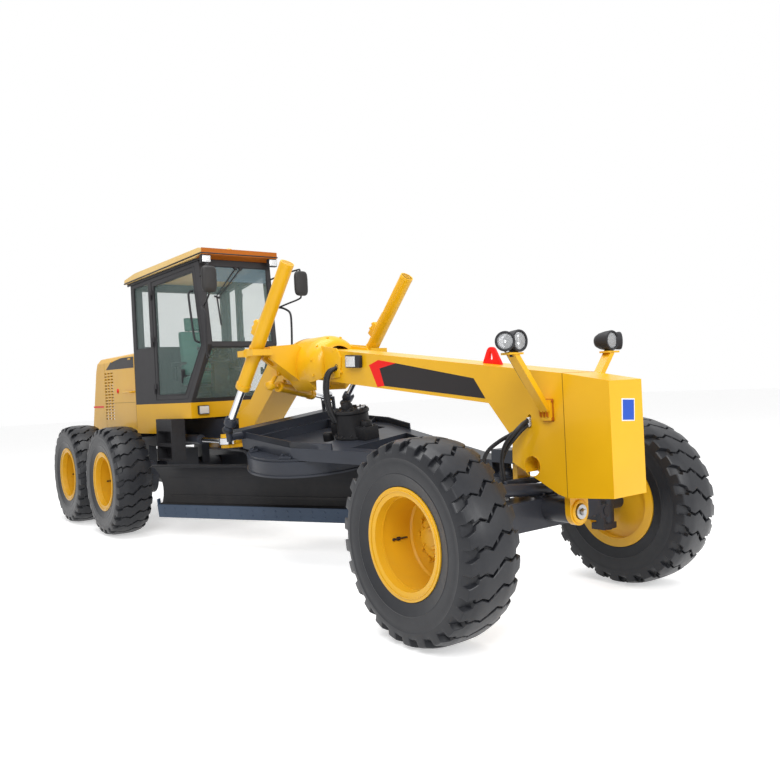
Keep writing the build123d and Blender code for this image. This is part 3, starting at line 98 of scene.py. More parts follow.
# ------------------------------------------------------------ paints
class Value:
    """A node's output that can be used in plain arithmetic."""

    def __init__(self, graph, socket):
        self.graph, self.socket = graph, socket

    def _math(self, operation, *terms):
        return self.graph.node("ShaderNodeMath", {"operation": operation}, dict(enumerate(terms)))

    def __add__(self, other):
        return self._math("ADD", self, other)

    def __sub__(self, other):
        return self._math("SUBTRACT", self, other)

    def __rsub__(self, other):
        return self._math("SUBTRACT", other, self)

    def __mul__(self, other):
        return self._math("MULTIPLY", self, other)

    def __truediv__(self, other):
        return self._math("DIVIDE", self, other)

    __radd__ = __add__
    __rmul__ = __mul__

    def clamped(self):
        return self.graph.node("ShaderNodeClamp", {}, {"Value": self})


class Graph:
    """A node tree; node() adds a node and gives one of its outputs."""

    def __init__(self, tree):
        self.tree = tree

    def node(self, kind, settings, sockets, output=0):
        made = self.tree.nodes.new(kind)
        for name, value in settings.items():
            setattr(made, name, value)
        for name, value in sockets.items():
            self.feed(made.inputs[name], value)
        return Value(self, made.outputs[output])

    def feed(self, socket, value):
        if isinstance(value, Value):
            self.tree.links.new(value.socket, socket)
        else:
            socket.default_value = value

    def shown_rays(self):
        """1 for what the camera sees, straight, in a gloss or through a pane, and 0 for other light."""
        camera_ray, gloss_ray, pane_ray = (self.node("ShaderNodeLightPath", {}, {}, ray) for ray in (
            "Is Camera Ray", "Is Glossy Ray", "Is Transmission Ray"))
        return (camera_ray + gloss_ray + pane_ray).clamped()


class Paint(Graph):
    """A material with a slot name kept on it; its fixed sockets are set on the shader itself."""

    def __init__(self, name, slot="", **fixed):
        self.material = bpy.data.materials.new(name)
        self.material.use_nodes = True
        super().__init__(self.material.node_tree)
        self.slot = slot
        self.shader = self.tree.nodes["Principled BSDF"]
        sockets = {socket.name.replace(" ", "_").lower(): socket for socket in self.shader.inputs}
        for name, value in fixed.items():
            sockets[name].default_value = value
        self.place = self.node("ShaderNodeTexCoord", {}, {}, "Object")

    def set(self, socket, value):
        self.feed(self.shader.inputs[socket], value)

    def height(self):
        return self.node("ShaderNodeSeparateXYZ", {}, {0: self.place}, 2)

    def noise(self, scale, detail=3.0, rough=0.5, stretch=(1, 1, 1)):
        spread = self.node("ShaderNodeMapping", {}, {"Vector": self.place, "Scale": stretch})
        return self.node("ShaderNodeTexNoise", {}, {"Vector": spread, "Scale": scale, "Detail": detail,
                                                    "Roughness": rough})

    def mix(self, factor, first, second):
        """Blend of two tones, which are (red, green, blue) or another node's colour."""
        first, second = (tone if isinstance(tone, Value) else (*tone, 1.0) for tone in (first, second))
        return self.node("ShaderNodeMix", {"data_type": "RGBA"}, {0: factor, 6: first, 7: second}, 2)

    def bump(self, height, strength, distance):
        self.set("Normal", self.node("ShaderNodeBump", {}, {"Height": height, "Strength": strength,
                                                            "Distance": distance}))


def gloss_paint(name, base, deep, rough, coat=0.12, sheen=0.3, dust=None, slot="yellow_paint"):
    """Sprayed enamel: faint colour drift, a little orange peel, and dust low down."""
    paint = Paint(name, slot, coat_weight=coat, coat_roughness=0.08, specular_ior_level=sheen)
    colour = paint.mix(((paint.noise(1.7, 4.0) - 0.35) * 2.2).clamped(), base, deep)
    if dust:
        low = (1 - paint.height() / 1.1).clamped() * paint.noise(5.0, 6.0, 0.65)
        colour = paint.mix(low * 0.35, colour, dust)
    paint.set("Base Color", colour)
    paint.set("Roughness", rough + paint.noise(9.0, 5.0, 0.6) * 0.12)
    paint.bump(paint.noise(60.0, 2.0), 0.03, 0.002)
    return paint


def matt_paint(name, base, deep, rough, slot, sheen=0.2, dust=None):
    return gloss_paint(name, base, deep, rough, 0.0, sheen, dust, slot)


def plain(name, slot, first, second, tone_noise, rough, rough_noise, grain=None, **fixed):
    """Two close tones and an uneven roughness: (least, share, noise). Grain is (noise, strength, distance)."""
    paint = Paint(name, slot, **fixed)
    paint.set("Base Color", paint.mix(paint.noise(*tone_noise), first, second))
    least, share = rough
    paint.set("Roughness", least + paint.noise(*rough_noise) * share)
    if grain:
        noise, strength, distance = grain
        paint.bump(paint.noise(*noise), strength, distance)
    return paint


def pane_paint(name, tone, clear):
    dark = tuple(0.92 * part for part in tone)
    return plain(name, "glass", tone, dark, (1.2, 2.0), (0.03, 0.03), (3.0, 2.0), alpha=clear, ior=1.45)


YELLOW, YELLOW_DEEP = (0.78, 0.425, 0.008), (0.72, 0.375, 0.006)
DUST = (0.16, 0.14, 0.115)
yellow = gloss_paint("yellow_enamel", YELLOW, YELLOW_DEEP, 0.26)
wheel_yellow = gloss_paint("wheel_enamel", YELLOW, YELLOW_DEEP, 0.3, dust=DUST, slot="rim_paint")
# paler yellow for the roof and its ribs: painted light, the yellow as it looks lit from above
roof_lit_yellow = gloss_paint("roof_enamel", (0.8, 0.56, 0.22), (0.76, 0.5, 0.17), 0.4)
slate = gloss_paint("slate_enamel", (0.034, 0.039, 0.052), (0.024, 0.027, 0.037), 0.3, 0.05, 0.2, DUST, "slate_paint")
blade_paint = matt_paint("blade_enamel", (0.015, 0.016, 0.02), (0.011, 0.012, 0.015), 0.34, "slate_paint", 0.12, DUST)
edge_paint = matt_paint("edge_enamel", (0.055, 0.08, 0.125), (0.04, 0.06, 0.095), 0.36, "edge_steel")
drive_paint = matt_paint("drive_enamel", (0.018, 0.018, 0.02), (0.013, 0.013, 0.015), 0.4, "slate_paint")
cab_grey = matt_paint("cab_enamel", (0.04, 0.039, 0.042), (0.032, 0.031, 0.034), 0.4, "cab_paint")
# orange is the yellow in shade: painted shade on the visor and on the lamp arms' feet
orange = matt_paint("visor_enamel", (0.42, 0.115, 0.006), (0.36, 0.095, 0.005), 0.4, "yellow_paint")
red = matt_paint("red_enamel", (0.82, 0.012, 0.01), (0.76, 0.01, 0.008), 0.34, "red_paint")
pale = matt_paint("pale_moulding", (0.7, 0.7, 0.66), (0.64, 0.64, 0.6), 0.45, "yellow_paint", 0.3)
# yellow in shade: painted shadow for seams and panel gaps
seam_paint = matt_paint("seam_paint", (0.3, 0.16, 0.006), (0.24, 0.12, 0.005), 0.5, "yellow_paint", 0.3)
mirror_case = matt_paint("mirror_moulding", (0.035, 0.034, 0.034), (0.028, 0.027, 0.028), 0.4, "black_plastic")
black_foil = matt_paint("black_foil", (0.02, 0.017, 0.018), (0.016, 0.014, 0.015), 0.34, "black_plastic")
blue_foil = matt_paint("blue_foil", (0.02, 0.08, 0.45), (0.018, 0.07, 0.4), 0.34, "slate_paint")
white_foil = matt_paint("white_foil", (0.74, 0.74, 0.74), (0.7, 0.7, 0.7), 0.34, "yellow_paint", 0.3)

rubber = plain("tyre_rubber", "tyre", (0.011, 0.012, 0.015), (0.02, 0.021, 0.025), (14.0, 5.0), (0.27, 0.2),
               (30.0, 4.0), ((160.0, 3.0), 0.12, 0.003), specular_ior_level=0.3)
soft_black = plain("black_moulding", "black_plastic", (0.02, 0.02, 0.022), (0.032, 0.032, 0.036), (20.0,),
                   (0.42, 0.2), (60.0,), ((420.0, 2.0), 0.12, 0.001), specular_ior_level=0.2)
hose_black = plain("hose_rubber", "black_plastic", (0.014, 0.014, 0.016), (0.028, 0.028, 0.03), (26.0,),
                   (0.34, 0.2), (50.0,), ((500.0, 2.0), 0.1, 0.0008), specular_ior_level=0.25)
seat_cloth = plain("seat_vinyl", "black_plastic", (0.045, 0.2, 0.15), (0.035, 0.16, 0.12), (12.0,), (0.6, 0.2),
                   (80.0,), ((380.0, 3.0), 0.2, 0.002))
amber = plain("amber_lens", "lamp", (0.9, 0.42, 0.03), (0.82, 0.34, 0.02), (30.0,), (0.2, 0.1), (40.0,),
              coat_weight=0.6)
chrome = plain("chromed_rod", "chrome_rod", (0.72, 0.73, 0.75), (0.62, 0.63, 0.66), (8.0,), (0.1, 0.12),
               (40.0, 3.0, 0.5, (1, 1, 0.05)), metallic=1.0)
steel = plain("zinc_steel", "chrome_rod", (0.5, 0.5, 0.5), (0.36, 0.36, 0.37), (30.0,), (0.3, 0.2), (70.0,),
              metallic=1.0)
mirror_glass = plain("mirror_pane", "glass", (0.7, 0.7, 0.72), (0.6, 0.6, 0.62), (4.0,), (0.05, 0.05), (6.0,),
                     metallic=1.0)
reflector = plain("lamp_reflector", "chrome_rod", (0.92, 0.92, 0.92), (0.8, 0.8, 0.82), (50.0,), (0.14, 0.15),
                  (90.0,), metallic=1.0)
glass = pane_paint("tinted_pane", (0.3, 0.42, 0.4), 0.16)
lens = pane_paint("lamp_lens", (0.86, 0.88, 0.9), 0.35)
tint = pane_paint("header_tint", (0.16, 0.24, 0.28), 0.6)

FINISHES = {
    "tyre": rubber, "rim_paint": wheel_yellow, "yellow_paint": yellow, "slate_paint": slate,
    "edge_steel": edge_paint, "chrome_rod": chrome, "cab_paint": cab_grey, "glass": glass,
    "black_plastic": soft_black, "lamp": soft_black, "red_paint": red,
}
OWN_FINISH = {"blade": blade_paint, "cab_interior": seat_cloth, "cab_roof": roof_lit_yellow,
              "step_boxes": soft_black, "engine": soft_black}
for part in frame["record"]["subparts"]:
    finish = OWN_FINISH.get(part["node"], FINISHES[part["material_slot"]])
    for place in NODES[part["node"]].material_slots:
        place.material = finish.material


# ------------------------------------------------------------ mesh forms
def cross_axes(axis):
    """Two directions square to an axis and to each other."""
    cross = axis.orthogonal().normalized()
    return cross, axis.cross(cross)


def ring_of(centre, cross, other, radius, steps):
    turns = [2 * pi * i / steps for i in range(steps)]
    return [centre + (cross * cos(turn) + other * sin(turn)) * radius for turn in turns]


def show(name, data, finish):
    """Object with its finish, linked into the scene."""
    piece = bpy.data.objects.new(name, data)
    bpy.context.collection.objects.link(piece)
    data.materials.append(finish.material)
    return piece


class Form:
    """A mesh built up in the frame's own axes, then set on a body."""

    def __init__(self, matrix=Matrix.Identity(4)):
        self.bm = bmesh.new()
        self.matrix = matrix

    def points(self, spots):
        return [self.bm.verts.new(self.matrix @ Vector(spot)) for spot in spots]

    def faces(self, spots, loops):
        verts = self.points(spots)
        for loop in loops:
            self.bm.faces.new([verts[i] for i in loop])

    def box(self, low, high):
        (x0, y0, z0), (x1, y1, z1) = low, high
        corners = [(x, y, z) for z in (z0, z1) for y in (y0, y1) for x in (x0, x1)]
        self.faces(corners, [(0, 2, 3, 1), (4, 5, 7, 6), (0, 1, 5, 4), (2, 6, 7, 3), (0, 4, 6, 2), (1, 3, 7, 5)])

    def prism(self, outline, shift):
        """Flat outline of 3-D points, pushed by the vector shift."""
        count = len(outline)
        corners = [Vector(p) for p in outline] + [Vector(p) + Vector(shift) for p in outline]
        sides = [(i, (i + 1) % count, count + (i + 1) % count, count + i) for i in range(count)]
        self.faces(corners, [tuple(range(count - 1, -1, -1)), tuple(range(count, 2 * count))] + sides)

    def skin(self, rings, closed=True, looped=False):
        """Faces from ring to ring; closed joins each ring's ends, looped the last ring to the first."""
        rows = [self.points(ring) for ring in rings]
        count = len(rows[0])
        for first, second in zip(rows, rows[1:] + rows[:1] if looped else rows[1:]):
            for i in range(count if closed else count - 1):
                j = (i + 1) % count
                self.bm.faces.new((first[i], first[j], second[j], second[i]))
        return rows

    def lathe(self, profile, foot, axis, steps=32):
        """Turned form: profile of (distance along the axis, radius) from foot."""
        foot, axis = Vector(foot), Vector(axis).normalized()
        cross, other = cross_axes(axis)
        rings = [self.points(ring_of(foot + axis * along, cross, other, radius, steps if radius else 1))
                 for along, radius in profile]
        for first, second in zip(rings, rings[1:]):
            for i in range(steps):
                j = (i + 1) % steps
                loop = [first[i % len(first)], first[j % len(first)], second[j % len(second)],
                        second[i % len(second)]]
                corners = [v for k, v in enumerate(loop) if v not in loop[:k]]
                if len(corners) > 2:
                    self.bm.faces.new(corners)

    def rod(self, start, end, radius, steps=20, chamfer=0.0):
        start, end = Vector(start), Vector(end)
        length = (end - start).length
        profile = [(0, radius - chamfer), (chamfer, radius), (length - chamfer, radius), (length, radius - chamfer)]
        if not chamfer:
            profile = [(0, radius), (length, radius)]
        self.lathe([(0, 0)] + profile + [(length, 0)], start, end - start, steps)

    def hexagon(self, foot, axis, across, height):
        self.lathe([(0, 0), (0, across / 2), (height * 0.8, across / 2), (height, across * 0.43), (height, 0)],
                   foot, axis, 6)

    def bolts(self, spots, axis, across, height):
        washer = height * 0.25
        for spot in spots:
            foot = Vector(spot)
            self.lathe([(0, 0), (0, across * 0.75), (washer, across * 0.75), (washer, 0)], foot, axis, 14)
            self.hexagon(foot + Vector(axis).normalized() * washer, axis, across, height - washer)

    def mesh(self, name):
        """The finished mesh, smooth all over."""
        mesh = bpy.data.meshes.new(name)
        self.bm.to_mesh(mesh)
        self.bm.free()
        for face in mesh.polygons:
            face.use_smooth = True
        return mesh

    def put(self, name, body, finish, bevel=0.0, slot=None, smooth=40):
        """Makes the piece: edges sharper than 35 degrees bevelled, those over smooth kept sharp."""
        bmesh.ops.remove_doubles(self.bm, verts=self.bm.verts, dist=1e-6)
        bmesh.ops.recalc_face_normals(self.bm, faces=self.bm.faces)
        if bevel:
            edges = [e for e in self.bm.edges if len(e.link_faces) == 2 and e.calc_face_angle(0) > radians(35)]
            bmesh.ops.bevel(self.bm, geom=edges, offset=bevel, segments=2, profile=0.6, affect="EDGES",
                            clamp_overlap=True)
        mesh = self.mesh(name)
        mesh.set_sharp_from_angle(angle=radians(smooth))
        piece = show(name, mesh, finish)
        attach(piece, body)
        return piece


def plate(name, outline, shift, body, finish, bevel=0.0):
    """Piece of one prism."""
    form = Form()
    form.prism(outline, shift)
    return form.put(name, body, finish, bevel)


def line_of(name, points, kind="NURBS"):
    """Curve along the points: one smooth line, or straight runs where kind is POLY."""
    curve = bpy.data.curves.new(name, "CURVE")
    curve.dimensions = "3D"
    line = curve.splines.new(kind)
    line.points.add(len(points) - 1)
    for spot, point in zip(line.points, points):
        spot.co = (*point, 1)
    if kind == "NURBS":
        line.order_u = 3
        line.use_endpoint_u = True
        line.resolution_u = 8
    return curve


def tube(name, curve, radius, body, finish, roundness):
    curve.bevel_depth = radius
    curve.bevel_resolution = roundness
    curve.use_fill_caps = True
    piece = show(name, curve, finish)
    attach(piece, body)
    return piece


def hose(name, points, radius, body, finish=hose_black):
    """A hose or pipe on one smooth line through its bends."""
    return tube(name, line_of(name, points), radius, body, finish, 4)


def trim(name, corners, radius, body):
    """Closed rubber bead along straight edges."""
    curve = line_of(name, corners, "POLY")
    curve.splines[0].use_cyclic_u = True
    return tube(name, curve, radius, body, hose_black, 2)


# ------------------------------------------------------------ camera
EYE = at(-3963, -4374, 1690)
YAW, PITCH, ROLL = radians(52.45), radians(-0.26), radians(-2.77)
SENSOR, VIEW_WIDTH, FOCAL = 36.0, 780, 784.9
forward = Vector((-sin(YAW) * cos(PITCH), cos(YAW) * cos(PITCH), sin(PITCH)))
level_right = Vector((cos(YAW), sin(YAW), 0))
level_up = level_right.cross(forward)
right = level_right * cos(ROLL) + level_up * sin(ROLL)
up = level_up * cos(ROLL) - level_right * sin(ROLL)
camera = bpy.data.objects.new("camera", bpy.data.cameras.new("camera"))
bpy.context.collection.objects.link(camera)
camera.matrix_world = Matrix.Translation(EYE) @ Matrix((right, up, -forward)).transposed().to_4x4()
camera.data.sensor_width = SENSOR
camera.data.lens = SENSOR * FOCAL / VIEW_WIDTH
camera.data.clip_end = 200
bpy.context.scene.camera = camera


# ------------------------------------------------------------ hoses
def run_of(points):
    """Points along the smooth line that a hose takes through its bends, and its length."""
    curve = line_of("run", points)
    guide = bpy.data.objects.new("run", curve)
    bpy.context.collection.objects.link(guide)
    bpy.context.view_layer.update()
    mesh = bpy.data.meshes.new_from_object(guide.evaluated_get(bpy.context.evaluated_depsgraph_get()))
    spots = [v.co.copy() for v in mesh.vertices]
    bpy.data.meshes.remove(mesh)
    bpy.data.objects.remove(guide)
    bpy.data.curves.remove(curve)
    return spots, sum((b - a).length for a, b in zip(spots, spots[1:]))


def free_hose(name, points, radius, body):
    """A hose held at both ends, with a crimped fitting at each."""
    spots, length = run_of(points)
    piece = hose(name, points, radius, body)
    fittings = Form()
    for foot, tip in ((spots[0], spots[1]), (spots[-1], spots[-2])):
        way = (tip - foot).normalized()
        fittings.lathe([(0, 0), (0, radius * 1.25), (radius * 3.5, radius * 1.25), (radius * 3.8, radius)],
                       foot, way, 16)
        fittings.hexagon(foot - way * radius * 0.6, way, radius * 3.1, radius * 1.5)
    fittings.put(name + "_fittings", body, steel)


# from the leg's slot down to the top of the axle
LEG_HOSES = {
    "leg_hose_front": [(-117, -140, 1412), (-117, -215, 1400), (-95, -300, 1330), (-10, -330, 1240),
                       (40, -320, 1120), (40, -300, 1000), (30, -290, 838)],
    "leg_hose_rear": [(-117, -140, 1378), (-113, -210, 1365), (-80, -285, 1290), (10, -300, 1200),
                      (75, -290, 1090), (80, -270, 980), (74, -255, 838)],
    "leg_hose_low": [(-117, -130, 1395), (-108, -200, 1383), (-60, -260, 1320), (60, -310, 1260),
                     (150, -380, 1170), (150, -400, 1030), (90, -395, 920), (70, -390, 838)],
}
for name, route in LEG_HOSES.items():
    free_hose(name, [at(*spot) for spot in route], 0.015, "front")
# lamp leads down the rear edges of their arms
LEAD = ((-262, 540, 1890), (-262, 520, 1862), (-258, 470, 1800), (-252, 340, 1640), (-250, 215, 1492),
        (-232, 176, 1455))
for hand, side in SIDES:
    free_hose(f"lamp_lead_{hand}", [at(behind, side * y, z) for behind, y, z in LEAD], 0.0055, "front")


def bent_hose(name, route, radius):
    """A hose in mesh, from the beam to the drawbar."""
    spots, length = run_of(route)
    form = Form()
    rings = []
    for before, spot, after in zip(spots[:1] + spots, spots, spots[1:] + spots[-1:]):
        ahead = (after - before).normalized()
        cross = ahead.cross(Vector((1, 0, 0))).normalized()
        rings.append(ring_of(spot, cross, ahead.cross(cross), radius, 14))
    rows = form.skin(rings)
    form.bm.faces.new(rows[0])
    form.bm.faces.new(rows[-1])
    bmesh.ops.recalc_face_normals(form.bm, faces=form.bm.faces)
    piece = show(name, form.mesh(name), hose_black)
    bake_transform(piece)


# two hoses from the beam's side to the drawbar, the second further back
grommets = Form()
for name, shift in (("beam_hose_front", 0), ("beam_hose_rear", 46)):
    hole = (2308 + shift * 0.4, 1900 - shift * 0.3)
    bent_hose(name, [at(hole[0], -168, hole[1]), at(2322 + shift, -214, 1886), at(2352 + shift, -256, 1830),
                     at(2376 + shift, -262, 1700), at(2362 + shift, -258, 1560), at(2340 + shift, -236, 1440),
                     at(2318 + shift * 0.8, -200, 1356)], 0.019)
    grommets.lathe([(0.0, 0.022), (0.0, 0.034), (0.008, 0.034), (0.014, 0.027), (0.014, 0.02)],
                   at(hole[0], -174.5, hole[1]), (0, -1, 0), 24)
grommets.put("beam_hose_grommets", "front", soft_black)

# ------------------------------------------------------------ tyres
LUGS = 26
PITCH = 2 * pi / LUGS
# distance from the wheel's middle, and how far round the groove has run by there, in pitches
BENDS = [(-0.30, 0.445), (-0.20, 0.445), (-0.105, 0.155), (-0.05, 0.275), (0.05, -0.275), (0.105, -0.155),
         (0.20, -0.445), (0.30, -0.445)]
# distance from the wheel's middle, lug's radius, groove's radius, half the groove's width in pitches
TREAD = [
    (0.007, 0.6750, 0.6660, 0.090), (0.009, 0.6750, 0.6480, 0.090), (0.028, 0.6749, 0.6470, 0.088),
    (0.047, 0.6746, 0.6465, 0.086), (0.052, 0.6745, 0.6460, 0.044), (0.078, 0.6735, 0.6455, 0.043),
    (0.105, 0.6722, 0.6445, 0.043), (0.128, 0.6680, 0.6420, 0.043), (0.147, 0.6630, 0.6390, 0.046),
    (0.153, 0.6615, 0.6290, 0.200), (0.177, 0.6560, 0.6180, 0.220), (0.200, 0.6480, 0.6060, 0.235),
    (0.206, 0.6410, 0.6020, 0.240), (0.213, 0.6120, 0.5950, 0.245), (0.217, 0.5930, 0.5890, 0.245),
]
# distance from the wheel's middle and radius, from the shoulder down to the bead
SIDEWALL = [
    (0.2198, 0.5740), (0.2215, 0.5570), (0.2196, 0.5520), (0.2206, 0.5280), (0.2190, 0.4950), (0.2140, 0.4600),
    (0.2160, 0.4540), (0.2120, 0.4440), (0.2040, 0.4160), (0.1960, 0.3900), (0.1925, 0.3730), (0.1860, 0.3710),
    (0.1830, 0.3640), (0.1760, 0.3500), (0.1730, 0.3453),
]


def bend_at(place):
    for (a, p), (b, q) in zip(BENDS, BENDS[1:]):
        if place <= b:
            return p + (q - p) * (place - a) / (b - a)
    return BENDS[-1][1]


def tyre_ring(centre, side, place, lug, floor, half):
    """One ring of points; ten to a pitch, so that edges follow the grooves."""
    bend = bend_at(place)
    slope, edge, land = half - 0.012, half + 0.004, half + 0.030
    shares = [0, slope, edge, land, (land + 0.5) / 2, 0.5, (1.5 - land) / 2, 1 - land, 1 - edge, 1 - slope]
    brim = lug - 0.005 if lug - floor > 0.008 else floor + (lug - floor) * 0.7
    radii = [floor, floor, brim] + [lug] * 5 + [brim, floor]
    turns = [((k + bend + share) * PITCH, radius) for k in range(LUGS) for share, radius in zip(shares, radii)]
    return [centre + Vector((radius * sin(turn), side * place, -radius * cos(turn))) for turn, radius in turns]


half_rows = TREAD + [(place, radius, radius, 0.245) for place, radius in SIDEWALL]
tyre_rows = [(-place, lug, floor, half) for place, lug, floor, half in reversed(half_rows)] + half_rows
for place, side in WHEELS:
    form = Form()
    form.skin([tyre_ring(middle(f"tyre_{place}"), side, *row) for row in tyre_rows], looped=True)
    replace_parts(form.put(f"lugged_tyre_{place}", f"wheel_{place}", rubber, smooth=24), f"tyre_{place}")

# wheel nuts, hub screws, rim beads and the valve
DISC_OUT = -0.118           # the disc's outer face from the wheel's middle
NUTS, HUB_SCREWS = 12, 6
BEADS = [
    [(0.1965, 0.3385), (0.2005, 0.3395), (0.2025, 0.3440), (0.2005, 0.3490), (0.1965, 0.3500)],
    [(0.120, 0.2995), (0.120, 0.2960), (0.128, 0.2945), (0.136, 0.2960), (0.136, 0.2995)],
    [(DISC_OUT, 0.2995), (DISC_OUT, 0.2860), (DISC_OUT + 0.013, 0.2990)],
]
for place, side in WHEELS:
    wheel, hub, axis = f"wheel_{place}", middle(f"tyre_{place}"), Vector((0, side, 0))
    level, plumb = Vector((1, 0, 0)), Vector((0, 0, 1))
    studs = Form()
    studs.bolts(ring_of(hub + axis * DISC_OUT, level, plumb, 0.182, NUTS), axis, 0.032, 0.026)
    for i in range(HUB_SCREWS):
        turn = 2 * pi * (i + 0.5) / HUB_SCREWS
        out = level * cos(turn) + plumb * sin(turn)
        studs.hexagon(hub + axis * (DISC_OUT + 0.052) + out * 0.113, axis, 0.02, 0.01)
    studs.put(f"wheel_nuts_{place}", wheel, wheel_yellow)
    ring = Form()
    for bead in BEADS:
        ring.lathe(bead, hub, axis, 72)
    ring.lathe([(DISC_OUT + 0.074, 0.052), (DISC_OUT + 0.080, 0.050), (DISC_OUT + 0.080, 0.0)], hub, axis, 32)
    ring.put(f"lock_ring_{place}", wheel, wheel_yellow)
    valve = Form()
    foot = hub + Vector((-0.2915, 0, -0.03))
    valve.rod(foot - axis * 0.075, foot + axis * 0.03, 0.0055, 12, 0.001)
    valve.rod(foot + axis * 0.03, foot + axis * 0.052, 0.0085, 12, 0.002)
    valve.box(foot + Vector((-0.008, -0.012, -0.012)), foot + Vector((0.004, 0.012, 0.012)))
    valve.put(f"valve_{place}", wheel, soft_black)

# ------------------------------------------------------------ front frame's marks, lamps and fittings
BEAM_SIDE = 175             # beam's side face
FOIL = 0.0012
RED_BAND = [(1651, 1931), (1400, 1889), (1637, 1855), (1577, 1697), (1681, 1690), (1793, 1892)]
BLACK_BAND = [(1400, 1889), (437, 1722), (317, 1563), (1577, 1697), (1637, 1855)]
for hand, side in SIDES:
    for mark, band, finish in (("chevron", RED_BAND, red), ("band", BLACK_BAND, black_foil)):
        plate(f"beam_{mark}_{hand}", [at(behind, side * BEAM_SIDE, z) for behind, z in band],
              (0, side * FOIL, 0), "front", finish)
for name, behind, corners, thick, finish, bevel in (
        ("nose_plate_edge", -815, ((-52, 1540), (88, 1533), (78, 1384), (-60, 1391)), 0.0025, white_foil, 0.0008),
        ("nose_plate", -817.6, ((-42, 1531), (78, 1525), (69, 1392), (-50, 1399)), 0.0012, blue_foil, 0)):
    plate(name, [at(behind, y, z) for y, z in corners], (thick, 0, 0), "front", finish, bevel)

# weld line where the nose weight meets the leg, painted as a strip of yellow in shade, and the lips round the leg's
# slot and hole
seam = Form()
for side in (1, -1):
    seam.prism([at(behind, side * 174.5, z) for behind, z in ((-431, 872), (-436, 872), (-436, 1722), (-431, 1722))],
               (0, side * 0.0022, 0))
seam.prism([at(*spot) for spot in ((-431, -174, 1724.5), (-436, -174, 1723.6), (-436, 174, 1723.6),
                                   (-431, 174, 1724.5))], (0, 0, 0.0022))
seam.put("nose_seam", "front", seam_paint)
for hand, side in SIDES:
    rim = Form()
    axis = (0, side, 0)
    rim.lathe([(0.1745, 0.072), (0.1765, 0.072), (0.1775, 0.074), (0.1765, 0.0765), (0.1745, 0.0765)],
              at(-125, 0, 1072), axis, 48)
    rim.rod(at(-88, side * 62, 1020), at(-88, side * 62, 1124), 0.011, 16, 0.002)
    rim.lathe([(0.056, 0), (0.056, 0.038), (0.066, 0.044), (0.074, 0.044), (0.078, 0.034), (0.078, 0)],
              at(-140, 0, 1080), axis, 32)
    rim.put(f"leg_hole_lip_{hand}", "front", yellow)

# front pivot: pin with its keeper plate and screw, and the collar
FORWARD = Vector((1, 0, 0))
pivot = Form()
pivot_face = at(-403.5, 0, 750)
pivot.lathe([(-0.018, 0.052), (0.004, 0.052), (0.006, 0.050), (0.006, 0.0)], pivot_face, FORWARD, 32)
pivot.hexagon(pivot_face + FORWARD * 0.006, FORWARD, 0.048, 0.022)
pivot.lathe([(0.0, 0.0), (0.0, 0.017), (0.03, 0.017), (0.03, 0.0)], pivot_face, FORWARD, 20)
pivot.put("axle_pivot_pin", "front", steel)
collar = Form()
collar.lathe([(0.0, 0.055), (0.0, 0.083), (0.008, 0.083), (0.012, 0.078), (0.012, 0.058), (0.008, 0.055)],
             at(-385, 0, 750), FORWARD, 40)
collar.put("axle_pivot_collar", "front", yellow)

# cylinder that leans the wheels, lying on the axle, and its mount
lean = Form()
lean_foot, lean_head = at(-46, -505, 925), at(-46, 150, 868)
way = (lean_head - lean_foot).normalized()
reach = (lean_head - lean_foot).length
lean.lathe([(0, 0), (0, 0.046), (0.01, 0.052), (0.05, 0.052), (0.055, 0.047), (reach - 0.075, 0.047),
            (reach - 0.07, 0.055), (reach - 0.02, 0.055), (reach - 0.006, 0.051), (reach, 0.04), (reach, 0.028)],
           lean_foot, way, 32)
lean.lathe([(-0.05, 0.0), (-0.05, 0.03), (0.0, 0.036), (0.01, 0.0)], lean_foot, way, 20)
for share in (0.2, 0.8):
    spot = lean_foot + way * reach * share
    lean.rod(spot + Vector((0, 0, 0.04)), spot + Vector((0, 0, 0.066)), 0.014, 16, 0.002)
lean.put("wheel_lean_barrel", "front", slate)
mount = Form()
for behind in (-6, -84):
    mount.prism([at(behind, y, z) for y, z in ((-560, 768), (-420, 818), (-470, 905), (-530, 965), (-575, 925))],
                (-0.014, 0, 0))
mount.rod(at(0, -540, 925), at(-92, -540, 925), 0.017, 20, 0.002)
mount.box(at(-22, -60, 820), at(-90, 120, 842))
for y in (-39, 81):
    mount.prism([at(behind, y, z) for behind, z in ((-22, 838), (-90, 838), (-80, 925), (-34, 925))], (0, 0.018, 0))
mount.put("wheel_lean_mount", "front", slate, 0.003)
lean_rod = Form()
lean_rod.rod(at(-46, 130, 870), at(-46, 335, 852), 0.024, 24, 0.003)
lean_rod.put("wheel_lean_rod", "front", chrome)

